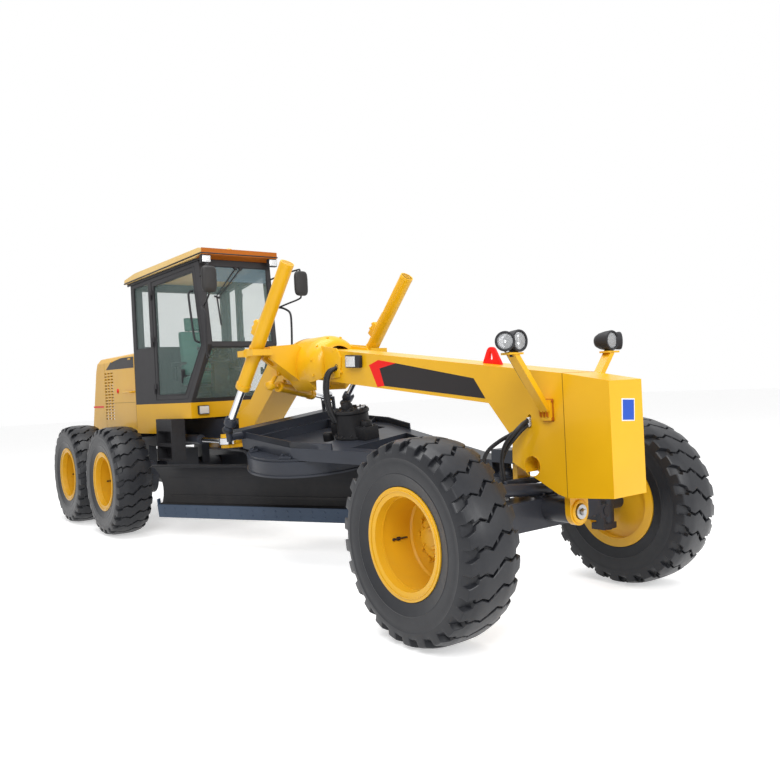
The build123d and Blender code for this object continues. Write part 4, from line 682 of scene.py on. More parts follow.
# lamps on the arms: two round lenses each, one ahead and one outwards
LAMP_SHELL = [(-0.072, 0), (-0.070, 0.022), (-0.052, 0.046), (-0.02, 0.062), (0.02, 0.070), (0.066, 0.0745),
              (0.074, 0.074), (0.074, 0.069), (0.060, 0.066)]
LAMP_RIM = [(0.068, 0.0745), (0.080, 0.0755), (0.088, 0.073), (0.090, 0.066), (0.088, 0.0605), (0.070, 0.0595)]
LAMP_LENS = [(0.072, 0.0592), (0.079, 0.0585), (0.083, 0.050), (0.086, 0.035), (0.088, 0.018), (0.0885, 0)]
LAMP_BOWL = [(0.070, 0.0592), (0.055, 0.057), (0.035, 0.050), (0.018, 0.030), (0.010, 0.012), (0.012, 0)]
LAMP_BULB = [(0.012, 0), (0.014, 0.013), (0.045, 0.013), (0.052, 0.008), (0.054, 0)]
for hand, side in SIDES:
    shell, rims, lenses, bowls, foot = Form(), Form(), Form(), Form(), Form()
    for place, way, size in ((at(-276, side * 497, 1953), FORWARD, 1.0),
                             (at(-292, side * 557, 1951), Vector((0.62, side * 0.785, 0)), 0.9)):
        for form, profile, steps in ((shell, LAMP_SHELL, 40), (rims, LAMP_RIM, 40), (lenses, LAMP_LENS, 40),
                                     (bowls, LAMP_BOWL, 32), (bowls, LAMP_BULB, 20)):
            form.lathe([(along * size, radius * size) for along, radius in profile], place, way, steps)
    shell.lathe([(-0.045, 0.04), (-0.045, 0.052), (0.045, 0.052), (0.045, 0.04)], at(-300, side * 528, 1951),
                (0, 0, 1), 28)
    foot.box(at(-292, side * 528 - 24, 1876), at(-328, side * 528 + 24, 1884))
    foot.rod(at(-310, side * 528, 1880), at(-310, side * 528, 1912), 0.016, 20, 0.002)
    foot.hexagon(at(-310, side * 528, 1861), (0, 0, -1), 0.03, 0.014)
    case = shell.put(f"lamp_shell_{hand}", "front", soft_black, 0.0015, "lamp")
    if hand == "right":
        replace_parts(case, "headlamps")
    rims.put(f"lamp_rings_{hand}", "front", soft_black, 0, "lamp")
    lenses.put(f"lamp_lenses_{hand}", "front", lens)
    bowls.put(f"lamp_bowls_{hand}", "front", reflector)
    foot.put(f"lamp_foot_{hand}", "front", soft_black, 0.001, "lamp")
    # stiffened foot of the arm, in the orange painted shade
    ribs = Form()
    for behind in (-262, -292, -322):
        ribs.prism([at(behind, side * y, z) for y, z in ((176, 1402), (222, 1432), (232, 1500), (176, 1543))],
                   (-0.007, 0, 0))
    ribs.box(at(-250, side * 174, 1394), at(-346, side * 182, 1551))
    ribs.bolts([at(behind, side * 182, z) for behind in (-256, -340) for z in (1410, 1536)], (0, side, 0), 0.02, 0.012)
    ribs.put(f"lamp_arm_foot_{hand}", "front", orange, 0.0015)

# square lamps on the beam's sides, lens outwards: distance out, thickness, bevel and outline
BEAM_LAMP = (
    ("case", soft_black, "lamp", 178, 0.044, 0.012, ((2112, 2004), (1884, 1988), (1890, 1872), (2112, 1884))),
    ("bowl", reflector, None, 221, 0.004, 0.003, ((2090, 1988), (1944, 1978), (1948, 1888), (2090, 1895))),
    ("pane", lens, None, 225.5, 0.003, 0.001, ((2094, 1992), (1940, 1982), (1944, 1884), (2094, 1891))),
)
for hand, side in SIDES:
    for part, finish, slot, out, thick, bevel, outline in BEAM_LAMP:
        form = Form()
        form.prism([at(behind, side * out, z) for behind, z in outline], (0, side * thick, 0))
        form.put(f"beam_lamp_{part}_{hand}", "front", finish, bevel, slot)

# lifting eye with a rounded head and a pear-shaped hole
low_eye, high_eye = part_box("lifting_eye")
half_thick = (high_eye.y - low_eye.y) / 2
foot_z = low_eye.z + 0.002
head_x, head_z, head_radius = (low_eye.x + high_eye.x) / 2 - 0.002, high_eye.z - 0.047, 0.047
hole_x, hole_z = head_x - 0.002, high_eye.z - 0.078
outline = [(low_eye.x, foot_z)]
for i in range(23):
    turn = radians(152 - 120 * i / 22)
    outline.append((head_x + head_radius * cos(turn), head_z + head_radius * sin(turn)))
outline += [(high_eye.x - (high_eye.x - low_eye.x) * i / 9, foot_z) for i in range(9)]
hole = []
for x, z in outline:
    aim = atan2(z - hole_z, x - hole_x)
    rise = max(0.0, (sin(aim) - 0.2) / 0.8)
    reach = 0.026 + 0.016 * rise
    hole.append((hole_x + cos(aim) * reach * (1 - 0.55 * rise), hole_z + sin(aim) * reach))
eye = Form()
eye.skin([[(x, y, z) for x, z in line] for line, y in ((outline, half_thick), (hole, half_thick),
                                                       (hole, -half_thick), (outline, -half_thick))], looped=True)
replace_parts(eye.put("rounded_lifting_eye", "front", red, 0.003), "lifting_eye")

# ------------------------------------------------------------ saddle, cylinders, drawbar, circle and blade
SADDLE_Z = 1930


def on_saddle(behind, radius, degrees):
    """Point round the saddle's own axis, which runs along the beam; radius in millimetres."""
    turn = radians(degrees)
    return at(behind, radius * cos(turn), SADDLE_Z + radius * sin(turn))


dome = Form()
for mid, depth, radius, bulge, first, last in ((2712, -190, 190, 113, -32, 212), (3050, 230, 200, 103, -6, 186)):
    dome.skin([[on_saddle(mid + depth * sin(radians(9 * i)), radius + bulge * cos(radians(9 * i)),
                          first + (last - first) * k / 32) for k in range(33)] for i in range(11)], closed=False)
dome.put("saddle_dome", "front", yellow)
screws = Form()
for i in range(8):
    degrees = -20 + 220 * i / 7
    away = Vector((0.45, cos(radians(degrees)), sin(radians(degrees))))
    screws.bolts([on_saddle(2606, 279, degrees)], away, 0.026, 0.016)
for side in (1, -1):
    for behind, z in ((2360, 2060), (2360, 1850), (2240, 1850)):
        screws.bolts([at(behind, side * 175, z)], (0, side, 0), 0.028, 0.016)
screws.put("saddle_screws", "front", yellow)
# cover plate on the beam's sides ahead of the saddle
cheeks = Form()
for side in (1, -1):
    cheeks.prism([at(behind, side * 174, z) for behind, z in (
        (2560, 2120), (2300, 2080), (2225, 1990), (2260, 1800), (2420, 1790), (2560, 1815))], (0, side * 0.014, 0))
cheeks.put("saddle_cheeks", "front", yellow, 0.004)

# lift cylinders: gland, top cap, oil pipe and port block on the barrel
for hand, side in SIDES:
    joint = JOINTS[f"lift_barrel_{hand}_swing"]
    pin, axis = Vector(joint["pos_m"]), Vector(joint["axis"]).normalized()
    down = Vector(JOINTS[f"lift_rod_{hand}_slide"]["axis"]).normalized()
    down = down if down.z < 0 else -down
    trims, pipes = Form(), Form()
    trims.lathe([(-0.055, 0.0682), (-0.055, 0.0755), (-0.006, 0.0755), (0.0, 0.071), (0.0, 0.045)],
                pin + down * 0.410, down, 36)
    trims.lathe([(0.0, 0.0), (0.0, 0.058), (0.006, 0.0675), (0.02, 0.0695), (0.03, 0.0695), (0.034, 0.0682)],
                pin - down * 0.978, down, 36)
    trims.put(f"lift_gland_{hand}", f"lift_barrel_{hand}", yellow)
    rear = down.cross(axis).normalized()
    rear = rear if rear.x < 0 else -rear
    base = pin - down * 0.16 + rear * 0.062
    pipes.prism([base - axis * 0.034, base + axis * 0.034, base + axis * 0.03 + rear * 0.062,
                 base - axis * 0.03 + rear * 0.062], -down * 0.15)
    for lift in (0.05, 0.11):
        pipes.rod(base - down * lift + rear * 0.05, base - down * lift + rear * 0.094, 0.016, 18, 0.002)
    pipes.rod(base - down * 0.14 + rear * 0.03, base - down * 0.30 + rear * 0.024, 0.0095, 14, 0.001)
    pipes.put(f"lift_valve_{hand}", f"lift_barrel_{hand}", yellow, 0.003)
    # ball cap on the rod, with its keeper screws
    cap = Form()
    eye = DRAWBAR @ Vector((CIRCLE_LOCAL.x - 0.570, side * 0.740, 0.262))
    cap.lathe([(0.050, 0.038), (0.050, 0.060), (0.056, 0.063), (0.118, 0.063), (0.124, 0.058), (0.124, 0.0385)],
              eye, -down, 32)
    for spot in ring_of(eye - down * 0.124, *cross_axes(down), 0.050, 6):
        cap.hexagon(spot, -down, 0.016, 0.010)
    cap.put(f"lift_ball_cap_{hand}", f"lift_rod_{hand}", slate)
    boot = Form()
    boot.lathe([(0.0, 0.040), (-0.002, 0.052), (-0.020, 0.058), (-0.034, 0.052), (-0.038, 0.040)], eye, -down, 28)
    boot.put(f"lift_ball_boot_{hand}", "drawbar", hose_black)

# side cylinder: gland, collar and port block
seat = Vector(JOINTS["shift_barrel_swing"]["pos_m"])
shift_way = Vector(JOINTS["shift_rod_slide"]["axis"]).normalized()
shift_way = shift_way if shift_way.y > 0 else -shift_way
BARREL_END = 1.0243 * 0.71
gland = Form()
gland.lathe([(-0.07, 0.0522), (-0.07, 0.060), (-0.008, 0.060), (0.0, 0.055), (0.0, 0.034)],
            seat + shift_way * BARREL_END, shift_way, 32)
gland.lathe([(0.128, 0.03), (0.128, 0.056), (0.136, 0.0575), (0.16, 0.0575), (0.165, 0.0522)], seat, shift_way, 32)
gland.prism([seat + shift_way * 0.2 + Vector((x, 0, z)) for x, z in (
    (-0.03, 0.045), (0.03, 0.045), (0.024, 0.085), (-0.024, 0.085))], shift_way * 0.05)
gland.put("side_cylinder_gland", "shift_barrel", yellow, 0.0015)

# swing drive: gearbox, cover, motor and its ports, on the drawbar; its axis is at DRIVE
DRIVE = (CIRCLE_LOCAL.x + 0.610) * 1000
UP = (0, 0, 1)
drive = Form(DRAWBAR)
drive.lathe([(0.0, 0.0), (0.0, 0.195), (0.026, 0.195), (0.030, 0.166), (0.235, 0.160), (0.242, 0.172),
             (0.268, 0.172), (0.274, 0.164), (0.276, 0.0)], mm(DRIVE, 0, 130), UP, 12)
drive.lathe([(0.0, 0.060), (0.05, 0.058), (0.056, 0.046), (0.074, 0.044), (0.078, 0.0)], mm(DRIVE - 30, -30, 404),
            UP, 8)
drive.box(mm(DRIVE + 150, -84, 131), mm(DRIVE + 288, 84, 252))
drive.lathe([(0.0, 0.0), (0.0, 0.05), (0.05, 0.05), (0.056, 0.042), (0.056, 0.0)], mm(DRIVE + 222, 0, 250), UP, 20)
drive.prism([mm(DRIVE + x, y, 131) for x, y in ((-182, -60), (-182, 60), (-290, 70), (-290, -70))], (0, 0, 0.125))
drive.lathe([(0.0, 0.0), (0.0, 0.055), (0.07, 0.055), (0.085, 0.04), (0.085, 0.0)], mm(DRIVE - 400, -40, 60), UP, 24)
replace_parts(drive.put("swing_gearbox", "drawbar", drive_paint, 0.006), "swing_drive")
details = Form(DRAWBAR)
for i in range(12):
    turn = 2 * pi * (i + 0.5) / 12
    for radius, z, across, height in ((180, 156, 0.022, 0.016), (140, 405, 0.02, 0.014)):
        details.bolts([mm(DRIVE + radius * cos(turn), radius * sin(turn), z)], UP, across, height)
for x, y in ((-95, 40), (-30, 70), (90, -70)):
    details.rod(mm(DRIVE + x, y, 405), mm(DRIVE + x, y, 428), 0.015, 14, 0.002)
details.bolts([mm(DRIVE + 262, y, 251) for y in (-60, 0, 60)], UP, 0.02, 0.012)
details.put("swing_drive_fittings", "drawbar", soft_black, 0, "slate_paint")
ports = Form(DRAWBAR)
for x, y in ((86, 84), (112, 46), (118, 4)):
    ports.rod(mm(DRIVE + x, y, 405), mm(DRIVE + x, y, 432), 0.012, 14, 0.002)
    ports.hexagon(mm(DRIVE + x, y, 414), UP, 0.032, 0.012)
ports.put("swing_drive_ports", "drawbar", steel)
# flanges along the drawbar's sides, with gussets
flange = Form(DRAWBAR)
for side in (1, -1):
    run = [(-1700, 470), (-2200, 600), (-3160, 564)]
    for (x0, y0), (x1, y1) in zip(run, run[1:]):
        flange.prism([mm(x, side * y, 128) for x, y in ((x0, y0), (x1, y1), (x1, y1 - 16), (x0, y0 - 16))],
                     (0, 0, 0.062))
    for x, y in ((-2400, 590), (-2640, 581), (-2880, 573)):
        flange.prism([mm(x, side * (y - inward), z) for inward, z in ((0, 130), (110, 130), (12, 184))],
                     (-0.014, 0, 0))
flange.put("drawbar_flanges", "drawbar", slate, 0.003)

# guide shoes with their screws on the drawbar's plate
C_X = CIRCLE_LOCAL.x * 1000


def round_circle(turn, radius, across, z):
    """Point at a turn round the circle, moved sideways along it."""
    return mm(C_X + radius * cos(turn) - across * sin(turn), radius * sin(turn) + across * cos(turn), z)


shoes = Form(DRAWBAR)
for degrees in (28, 62, 118, 152, 208, 242, 298, 332):
    turn = radians(degrees)
    shoes.prism([round_circle(turn, 690 + out, across, 24) for across, out in (
        (-70, -42), (70, -42), (70, 42), (-70, 42))], (0, 0, 0.022))
    shoes.bolts([round_circle(turn, 690, across, 46) for across in (-45, 45)], UP, 0.03, 0.018)
shoes.put("circle_guide_shoes", "drawbar", slate, 0.003)

# toothed inside of the circle and its lower lip
TEETH = 64
teeth = Form(DRAWBAR)
for i in range(TEETH):
    teeth.prism([round_circle(2 * pi * i / TEETH, radius, across, -132) for radius, across in (
        (618.5, -17), (618.5, 17), (590, 9), (590, -9))], (0, 0, 0.05))
teeth.lathe([(-0.150, 0.768), (-0.150, 0.782), (-0.132, 0.782), (-0.128, 0.768)], mm(C_X, 0, 0), UP, 96)
teeth.put("circle_teeth", "circle", slate)

# mouldboard: edge bolts, end bits, top lip and the stiffeners behind it
BLADE_FOOT, HALF_L, BLADE_MID = -812.0, 3965.0 / 2, -232.0
bolts = Form(BLADE)
for i in range(26):
    x = BLADE_MID - HALF_L + 90 + (2 * HALF_L - 180) * i / 25
    for z in (BLADE_FOOT + 45, BLADE_FOOT + 105):
        bolts.lathe([(0, 0.0), (0, 0.014), (0.004, 0.012), (0.0055, 0.0)], mm(x, -109, z), (0, -1, 0), 12)
bolts.put("edge_bolts", "blade", edge_paint)
ends = Form(BLADE)
for way in (-1, 1):
    outer = BLADE_MID + way * HALF_L
    ends.prism([mm(outer, y, BLADE_FOOT + z) for y, z in ((-107, 4), (-66, 4), (-62, 210), (-103, 210))],
               (-way * 0.016, 0, 0))
    ends.bolts([mm(outer, -86, BLADE_FOOT + z) for z in (60, 150)], (-way, 0, 0), 0.001, 0.0005)
ends.put("blade_end_bits", "blade", edge_paint, 0.002)
stiff = Form(BLADE)
stiff.prism([mm(BLADE_MID - HALF_L + 4, y, z) for y, z in ((-114, -208), (-84, -203), (-84, -218), (-110, -222))],
            (2 * HALF_L / 1000 - 0.008, 0, 0))
for i in range(-5, 6):
    stiff.prism([mm(BLADE_MID + i * 340 - 6, y, z) for y, z in (
        (46, -740), (60, -640), (60, -380), (30, -300), (40, -500))], (0.012, 0, 0))
stiff.put("blade_top_lip", "blade", blade_paint, 0.002)

# ------------------------------------------------------------ cab
# distances behind the front axle, as in the cab's own lines
HITCH_BACK = 4650.0
HEAD, WAIST, SILL, REAR, PILLAR_B = (HITCH_BACK + way for way in (40, -80, 350, 1690, 1200))


def cab_half(behind):
    return 457.0 + 0.1387 * (behind - WAIST)


def cab_top(behind):
    return 3310.0 - 95.0 / (REAR - HEAD) * (behind - HEAD)


def on_side(behind, side, z, out=0.0):
    """Point on the cab's tapered side, pushed out by millimetres."""
    return at(behind, side * (cab_half(behind) + out), z)


def side_line(side, out, rows):
    return [on_side(behind, side, z, out) for behind, z in rows]


def on_roof(behind, y, lift):
    return at(behind, y, cab_top(behind) + lift)


def window_line(inset):
    hinge = PILLAR_B - 37.5 - inset
    low = 1655 + inset
    return [(hinge, low), (SILL + 62 + inset, low), (WAIST + 88 + inset, 2285),
            (HEAD + 88 + inset, cab_top(HEAD) - 80 - inset), (hinge, cab_top(hinge) - 80 - inset)]


GRAB = ((WAIST + 180, 2320, -6), (WAIST + 180, 2330, 48), (WAIST + 195, 2400, 56), (HEAD + 150, 2860, 56),
        (HEAD + 156, 2930, 48), (HEAD + 156, 2940, -6))
RAIL = ((4470, 560, 2700), (4372, 560, 2650), (4366, 560, 2500), (4384, 560, 2200), (4400, 545, 2120))
for hand, side in SIDES:
    trim(f"door_window_seal_{hand}", side_line(side, -10, window_line(60)), 0.011, f"door_{hand}")
    trim(f"door_gap_seal_{hand}", side_line(side, -3, window_line(4)), 0.0045, "rear")
    near, far = PILLAR_B + 37.5, REAR - 75
    trim(f"quarter_seal_{hand}", side_line(side, -10, (
        (near, 2330), (near, cab_top(near) - 80), (far, cab_top(far) - 80), (far, 2330))), 0.011, "rear")
    # door handle, grab bar and handrail
    latch = Form()
    latch.prism(side_line(side, -5, ((SILL + 100, 2020), (SILL + 170, 2020), (SILL + 170, 1930), (SILL + 100, 1930))),
                (0, side * 0.012, 0))
    latch.prism(side_line(side, 8, ((SILL + 112, 2000), (SILL + 128, 2000), (SILL + 150, 1850), (SILL + 130, 1850))),
                (0, side * 0.016, 0))
    latch.put(f"door_latch_{hand}", f"door_{hand}", soft_black, 0.002)
    hose(f"door_grab_{hand}", [on_side(behind, side, z, out) for behind, z, out in GRAB], 0.0135, f"door_{hand}",
         soft_black)
    hose(f"cab_handrail_{hand}", [on_side(WAIST + 70, side, 2738, -8), on_side(WAIST - 40, side, 2736, 50)]
         + [at(behind, side * y, z) for behind, y, z in RAIL] + [on_side(WAIST + 10, side, 2150, -8)],
         0.013, "rear", soft_black)
    rail_pads = Form()
    for behind, z in ((WAIST + 66, 2738), (WAIST + 14, 2150)):
        rail_pads.rod(on_side(behind, side, z, -8), on_side(behind, side, z, 8), 0.03, 20, 0.002)
    rail_pads.put(f"handrail_pads_{hand}", "rear", soft_black)
    # black flashing under the roof's edge
    plate(f"roof_flashing_{hand}", side_line(side, 2, (
        (HEAD - 60, cab_top(HEAD) + 12), (REAR + 60, cab_top(REAR) - 2), (REAR + 60, cab_top(REAR) - 40),
        (HEAD - 60, cab_top(HEAD) - 28))), (0, side * 0.012, 0), "rear", soft_black, 0.002)

# roof: sheet of orange painted shade under and before the visor, dark gutter round the rim, ribs, cooling unit
visor_shade_form = Form()
visor_shade_form.prism([on_roof(HEAD - 144, -492, 20), on_roof(HEAD - 144, 492, 20), at(HEAD - 12, 500, 3306),
              at(HEAD - 12, -500, 3306)], (0, 0, -0.006))
visor_shade_form.prism([on_roof(HEAD - 151, y, lift) for y, lift in ((-497, 12), (497, 12), (497, 88), (-497, 88))],
             (0.003, 0, 0))
visor_shade_form.put("visor_lining", "rear", orange)
RIM_Z = cab_top(HEAD - 150) + 28, cab_top(REAR + 90) + 8
BACK_HALF = cab_half(REAR) + 49
trim("roof_gutter", [at(HEAD - 151, -503, RIM_Z[0]), at(HEAD - 151, 503, RIM_Z[0]),
                     at(REAR + 91, BACK_HALF, RIM_Z[1]), at(REAR + 91, -BACK_HALF, RIM_Z[1])], 0.009, "rear")
# ribs in the paler yellow of painted light
ribs = Form()
for y in (-430, 430):
    ribs.prism([on_roof(HEAD + 40, y - 30, 96), on_roof(HEAD + 40, y + 30, 96), on_roof(REAR - 260, y + 30, 94),
                on_roof(REAR - 260, y - 30, 94)], (0, 0, 0.012))
ribs.put("roof_ribs", "rear", roof_lit_yellow, 0.004)
plate("roof_unit_cover", [on_roof(REAR - ahead, -333, lift) for ahead, lift in (
    (386, 60), (386, 153), (488, 194), (942, 194), (1064, 90))], (0, 0.666, 0), "rear", pale, 0.03)
vents = Form()
for i in range(7):
    behind = REAR - 560 - i * 44
    z = cab_top(behind) + 193
    vents.box(at(behind + 9, -200, z - 6), at(behind - 9, 200, z + 4))
vents.put("roof_unit_louvres", "rear", pale, 0.002)

# windscreen: tinted band, seals, wiper and its motor cover
glass_low, glass_high = at(WAIST + 14, 0, 2312), at(HEAD + 2, 0, 3220)


def on_screen(share, y, out=0.0):
    return glass_low + (glass_high - glass_low) * share + mm(out, y, 0)


plate("screen_tint_band", [on_screen(share, y, 4) for share, y in (
    (0.80, -395), (0.80, 395), (0.995, 412), (0.995, -412))], (0.0015, 0, 0), "rear", tint)
trim("screen_seal", [on_screen(share, y, 3) for share, y in ((0.0, -402), (0.0, 402), (1.0, 415), (1.0, -415))],
     0.011, "rear")
trim("lower_screen_seal", [at(SILL - 22, -488, 1656), at(SILL - 22, 488, 1656), at(WAIST + 14, 402, 2250),
                           at(WAIST + 14, -402, 2250)], 0.010, "rear")
wiper = Form()
for start, end in ((60, -262), (-6, -300)):
    wiper.rod(on_screen(0.985, start, 24), on_screen(0.585, end, 20), 0.0065, 12, 0.001)
    wiper.rod(on_screen(0.985, start, 2), on_screen(0.985, start, 36), 0.02, 20, 0.003)
wiper.rod(on_screen(0.60, -318, 22), on_screen(0.575, -250, 20), 0.011, 14, 0.002)
wiper.rod(on_screen(0.60, -283, 16), on_screen(0.22, -262, 10), 0.009, 12, 0.001)
wiper.put("windscreen_wiper", "rear", soft_black)
plate("wiper_blade", [on_screen(share, y, 2) for share, y in (
    (0.60, -287), (0.60, -279), (0.22, -258), (0.22, -266))], (0.008, 0, 0), "rear", hose_black)


def rounded_ring(mid, x, half_wide, half_high, power):
    """Rounded oblong that faces along x."""
    ring = []
    for i in range(32):
        turn = 2 * pi * (i + 0.5) / 32
        y, z = (copysign(abs(part) ** power, part) for part in (cos(turn), sin(turn)))
        ring.append(mid + Vector((x, half_wide * y, half_high * z)))
    return ring


# mirrors on their arms, the shell bulging forwards; corner lamps and base lamps
for hand, side in SIDES:
    tip_back, tip_y = HEAD - 526, side * 595
    root_y = side * (cab_half(HEAD) - 20)
    arms = hose(f"mirror_arm_{hand}", [
        at(HEAD + 35, root_y, 3080), at(HEAD - 200, side * (cab_half(HEAD) + 40), 3128),
        at(HEAD - 500, side * 592, 3156), at(tip_back, tip_y, 3150), at(tip_back, tip_y, 3000),
        at(tip_back, tip_y, 2830), at(tip_back + 26, tip_y, 2800),
        at(HEAD - 260, side * (cab_half(HEAD) + 50), 2756), at(HEAD + 5, root_y, 2700)], 0.0105, "rear", soft_black)
    if hand == "left":
        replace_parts(arms, "mirrors_and_work_lamps")
    mid = at(tip_back, tip_y, 2982)
    shell = Form()
    rows = shell.skin([rounded_ring(mid, bulge, 0.090 * share, 0.150 * (0.25 + 0.75 * share), 0.45)
                       for bulge, share in (
        (-0.018, 0.80), (-0.010, 0.96), (0.004, 1.0), (0.020, 0.97), (0.034, 0.82), (0.041, 0.5))])
    shell.bm.faces.new(rows[-1])
    shell.put(f"mirror_shell_{hand}", "rear", mirror_case)
    plate(f"mirror_glass_{hand}", rounded_ring(mid, -0.016, 0.076, 0.134, 0.4), (0.004, 0, 0), "rear", mirror_glass)
    clamp = Form()
    for z in (3100, 2870):
        clamp.rod(at(tip_back, tip_y, z - 18), at(tip_back, tip_y, z + 18), 0.018, 18, 0.003)
    clamp.put(f"mirror_clamps_{hand}", "rear", soft_black)
    case, panes, bowls = Form(), Form(), Form()
    case.box(at(HEAD - 92, side * 380, 3232), at(HEAD - 152, side * 500, 3326))
    case.box(at(SILL - 2, side * 300, 1462), at(SILL - 46, side * 438, 1570))
    case.put(f"cab_lamp_cases_{hand}", "rear", soft_black, 0.010, "lamp")
    for front, (y0, y1), (z0, z1) in ((HEAD - 154, (390, 490), (3242, 3316)), (SILL - 47, (309, 429), (1472, 1561))):
        for form, lift in ((bowls, 0), (panes, 4)):
            form.box(at(front - lift, side * y0, z0), at(front - lift - 3, side * y1, z1))
    bowls.put(f"cab_lamp_bowls_{hand}", "rear", reflector, 0.001)
    panes.put(f"cab_lamp_panes_{hand}", "rear", lens, 0.001)

beacon_foot = on_roof(HEAD + 390, 120, 94)
beacon = Form()
beacon.lathe([(0.034, 0.0), (0.034, 0.052), (0.040, 0.056), (0.060, 0.056), (0.064, 0.053), (0.110, 0.049),
              (0.128, 0.043), (0.140, 0.030), (0.145, 0.014), (0.146, 0.0)], beacon_foot, UP, 36)
for z in (0.072, 0.084, 0.096):
    beacon.lathe([(z, 0.0515), (z + 0.003, 0.0535), (z + 0.006, 0.0512)], beacon_foot, UP, 36)
beacon.put("beacon_dome", "rear", amber)
socket = Form()
socket.lathe([(-0.002, 0.0), (-0.002, 0.062), (0.010, 0.062), (0.016, 0.054), (0.036, 0.054), (0.040, 0.050)],
             beacon_foot, UP, 32)
socket.put("beacon_socket", "rear", soft_black)


# ------------------------------------------------------------ seat and steering
def by_seat(x, y, z):
    """Point in metres ahead of the seat's middle, to its left and over the ground."""
    return at(REAR - 640, 0, 0) + Vector((x, y, z))


def cushion(name, mid, size, pitch, channels):
    """Crowned cushion: rounded plan, sides pulled in between the corners, sewn channels across it."""
    wide, deep, thick = size
    across, down = 28, 24

    def spot(face, u, v):
        corner = 1 - 0.16 * max(0.0, abs(u) + abs(v) - 1.62)
        x = u * deep / 2 * (1 - 0.035 * (1 - v * v)) * corner
        y = v * wide / 2 * (1 - 0.035 * (1 - u * u)) * corner
        if max(abs(u), abs(v)) > 0.999:    # the two faces meet at the rim
            return x, y, 0.0
        soft = (1 - abs(u) ** 3.2) ** 0.5 * (1 - abs(v) ** 3.2) ** 0.5
        height = thick / 2 * (0.52 + 0.48 * soft)
        if face > 0:
            height += thick / 2 * 0.22 * soft * (1 - 0.5 * (u * u + v * v))
            height -= sum(0.007 * max(0.0, 1 - abs(u - channel) / 0.055) * soft for channel in channels)
        return x, y, face * height

    form = Form(Matrix.Translation(mid) @ Matrix.Rotation(radians(pitch), 4, "Y"))
    for face in (1, -1):
        form.skin([[spot(face, 2 * i / down - 1, 2 * j / across - 1) for j in range(across + 1)]
                   for i in range(down + 1)], closed=False)
    piece = form.put(name, "rear", seat_cloth, smooth=70)
    smoother = piece.modifiers.new("soften", "SUBSURF")
    smoother.levels = smoother.render_levels = 1


cushion("seat_cushion", by_seat(0.0, 0, 1.895), (0.50, 0.50, 0.13), -4, (-0.45, 0.0, 0.45))
cushion("seat_back", by_seat(-0.235, 0, 2.26), (0.47, 0.62, 0.12), 82, (-0.5, -0.17, 0.17, 0.5))
cushion("head_rest", by_seat(-0.296, 0, 2.645), (0.26, 0.19, 0.09), 84, ())
seat_frame = Form()
seat_frame.lathe([(0.0, 0.20), (0.02, 0.20), (0.03, 0.15), (0.07, 0.135), (0.075, 0.155), (0.11, 0.135),
                  (0.115, 0.155), (0.15, 0.14), (0.19, 0.14), (0.20, 0.0)], by_seat(0, 0, 1.612), UP, 28)
seat_frame.box(by_seat(-0.21, -0.21, 1.81), by_seat(0.21, 0.21, 1.836))
for y in (-0.07, 0.07):
    seat_frame.rod(by_seat(-0.272, y, 2.50), by_seat(-0.300, y, 2.60), 0.008, 12)
seat_frame.prism([by_seat(x, -0.2, z) for x, z in ((-0.26, 1.86), (-0.18, 1.84), (-0.29, 2.50), (-0.33, 2.50))],
                 (0, 0.4, 0))
for side in (1, -1):
    for y, wide, outline in (
            (0.29, 0.055, ((-0.24, 2.08), (0.10, 2.10), (0.12, 2.13), (-0.24, 2.14))),
            (0.262, 0.03, ((-0.26, 1.90), (-0.20, 1.90), (-0.20, 2.12), (-0.26, 2.12)))):
        seat_frame.prism([by_seat(x, side * y, z) for x, z in outline], (0, side * wide, 0))
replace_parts(seat_frame.put("seat_frame", "rear", soft_black, 0.004), "cab_interior")

WHEEL = at(SILL + 300, 0, 2230)
WHEEL_R = 0.185
tilt = Vector((-0.35, 0, 0.94)).normalized()
column = Form()
column.prism([at(SILL + behind, y, z) for behind, y, z in (
    (205, -95, 1612), (340, -95, 1612), (330, -80, 2100), (275, -80, 2160), (235, -80, 2130))], (0, 0.18, 0))
column.rod(at(SILL + 283, 0, 2140), WHEEL - tilt * 0.012, 0.024, 20, 0.002)
column.prism([at(SILL + behind, -150, z) for behind, z in ((180, 2085), (320, 2130), (320, 2148), (180, 2112))],
             (0, 0.30, 0))
column.put("steering_console", "rear", soft_black, 0.008)
wheel = Form()
cross = Vector((0, 1, 0))
other = tilt.cross(cross)
rings = []
for i in range(48):
    turn = 2 * pi * i / 48
    out = cross * cos(turn) + other * sin(turn)
    rings.append(ring_of(WHEEL + out * WHEEL_R, out, tilt, 0.0155 + 0.0012 * cos(turn * 24), 12))
wheel.skin(rings, looped=True)
for out in ring_of(Vector((0, 0, 0)), cross, other, 1, 3):
    wheel.rod(WHEEL - tilt * 0.008 + out * 0.03, WHEEL + out * 0.178, 0.0105, 12)
wheel.lathe([(-0.016, 0.0), (-0.016, 0.045), (0.004, 0.050), (0.012, 0.042), (0.014, 0.0)], WHEEL, tilt, 28)
wheel.put("steering_wheel", "rear", soft_black)
levers = Form()
for side in (1, -1):
    for i in range(4):
        foot = at(SILL + 235 + i * 4, side * (165 + i * 34), 2020)
        tip = foot + Vector((-0.03, 0, 0.24))
        levers.rod(foot, tip, 0.006, 10)
        levers.lathe([(0, 0.0), (0.004, 0.012), (0.024, 0.016), (0.04, 0.010), (0.044, 0.0)], tip, tip - foot, 16)
    levers.prism([at(SILL + behind, side * 150, z) for behind, z in (
        (150, 1990), (290, 2005), (290, 2040), (150, 2022))], (0, side * 0.15, 0))
levers.put("lever_banks", "rear", soft_black, 0.002)
plate("floor_mat", [at(behind, side * (cab_half(behind) - 80), 1611) for behind, side in (
    (SILL + 70, -1), (SILL + 70, 1), (REAR - 80, 1), (REAR - 80, -1))], (0, 0, 0.012), "rear", soft_black, 0.003)
rear_trim = Form()
rear_trim.box(at(REAR - 60, -560, 1620), at(REAR - 110, 560, 2330))
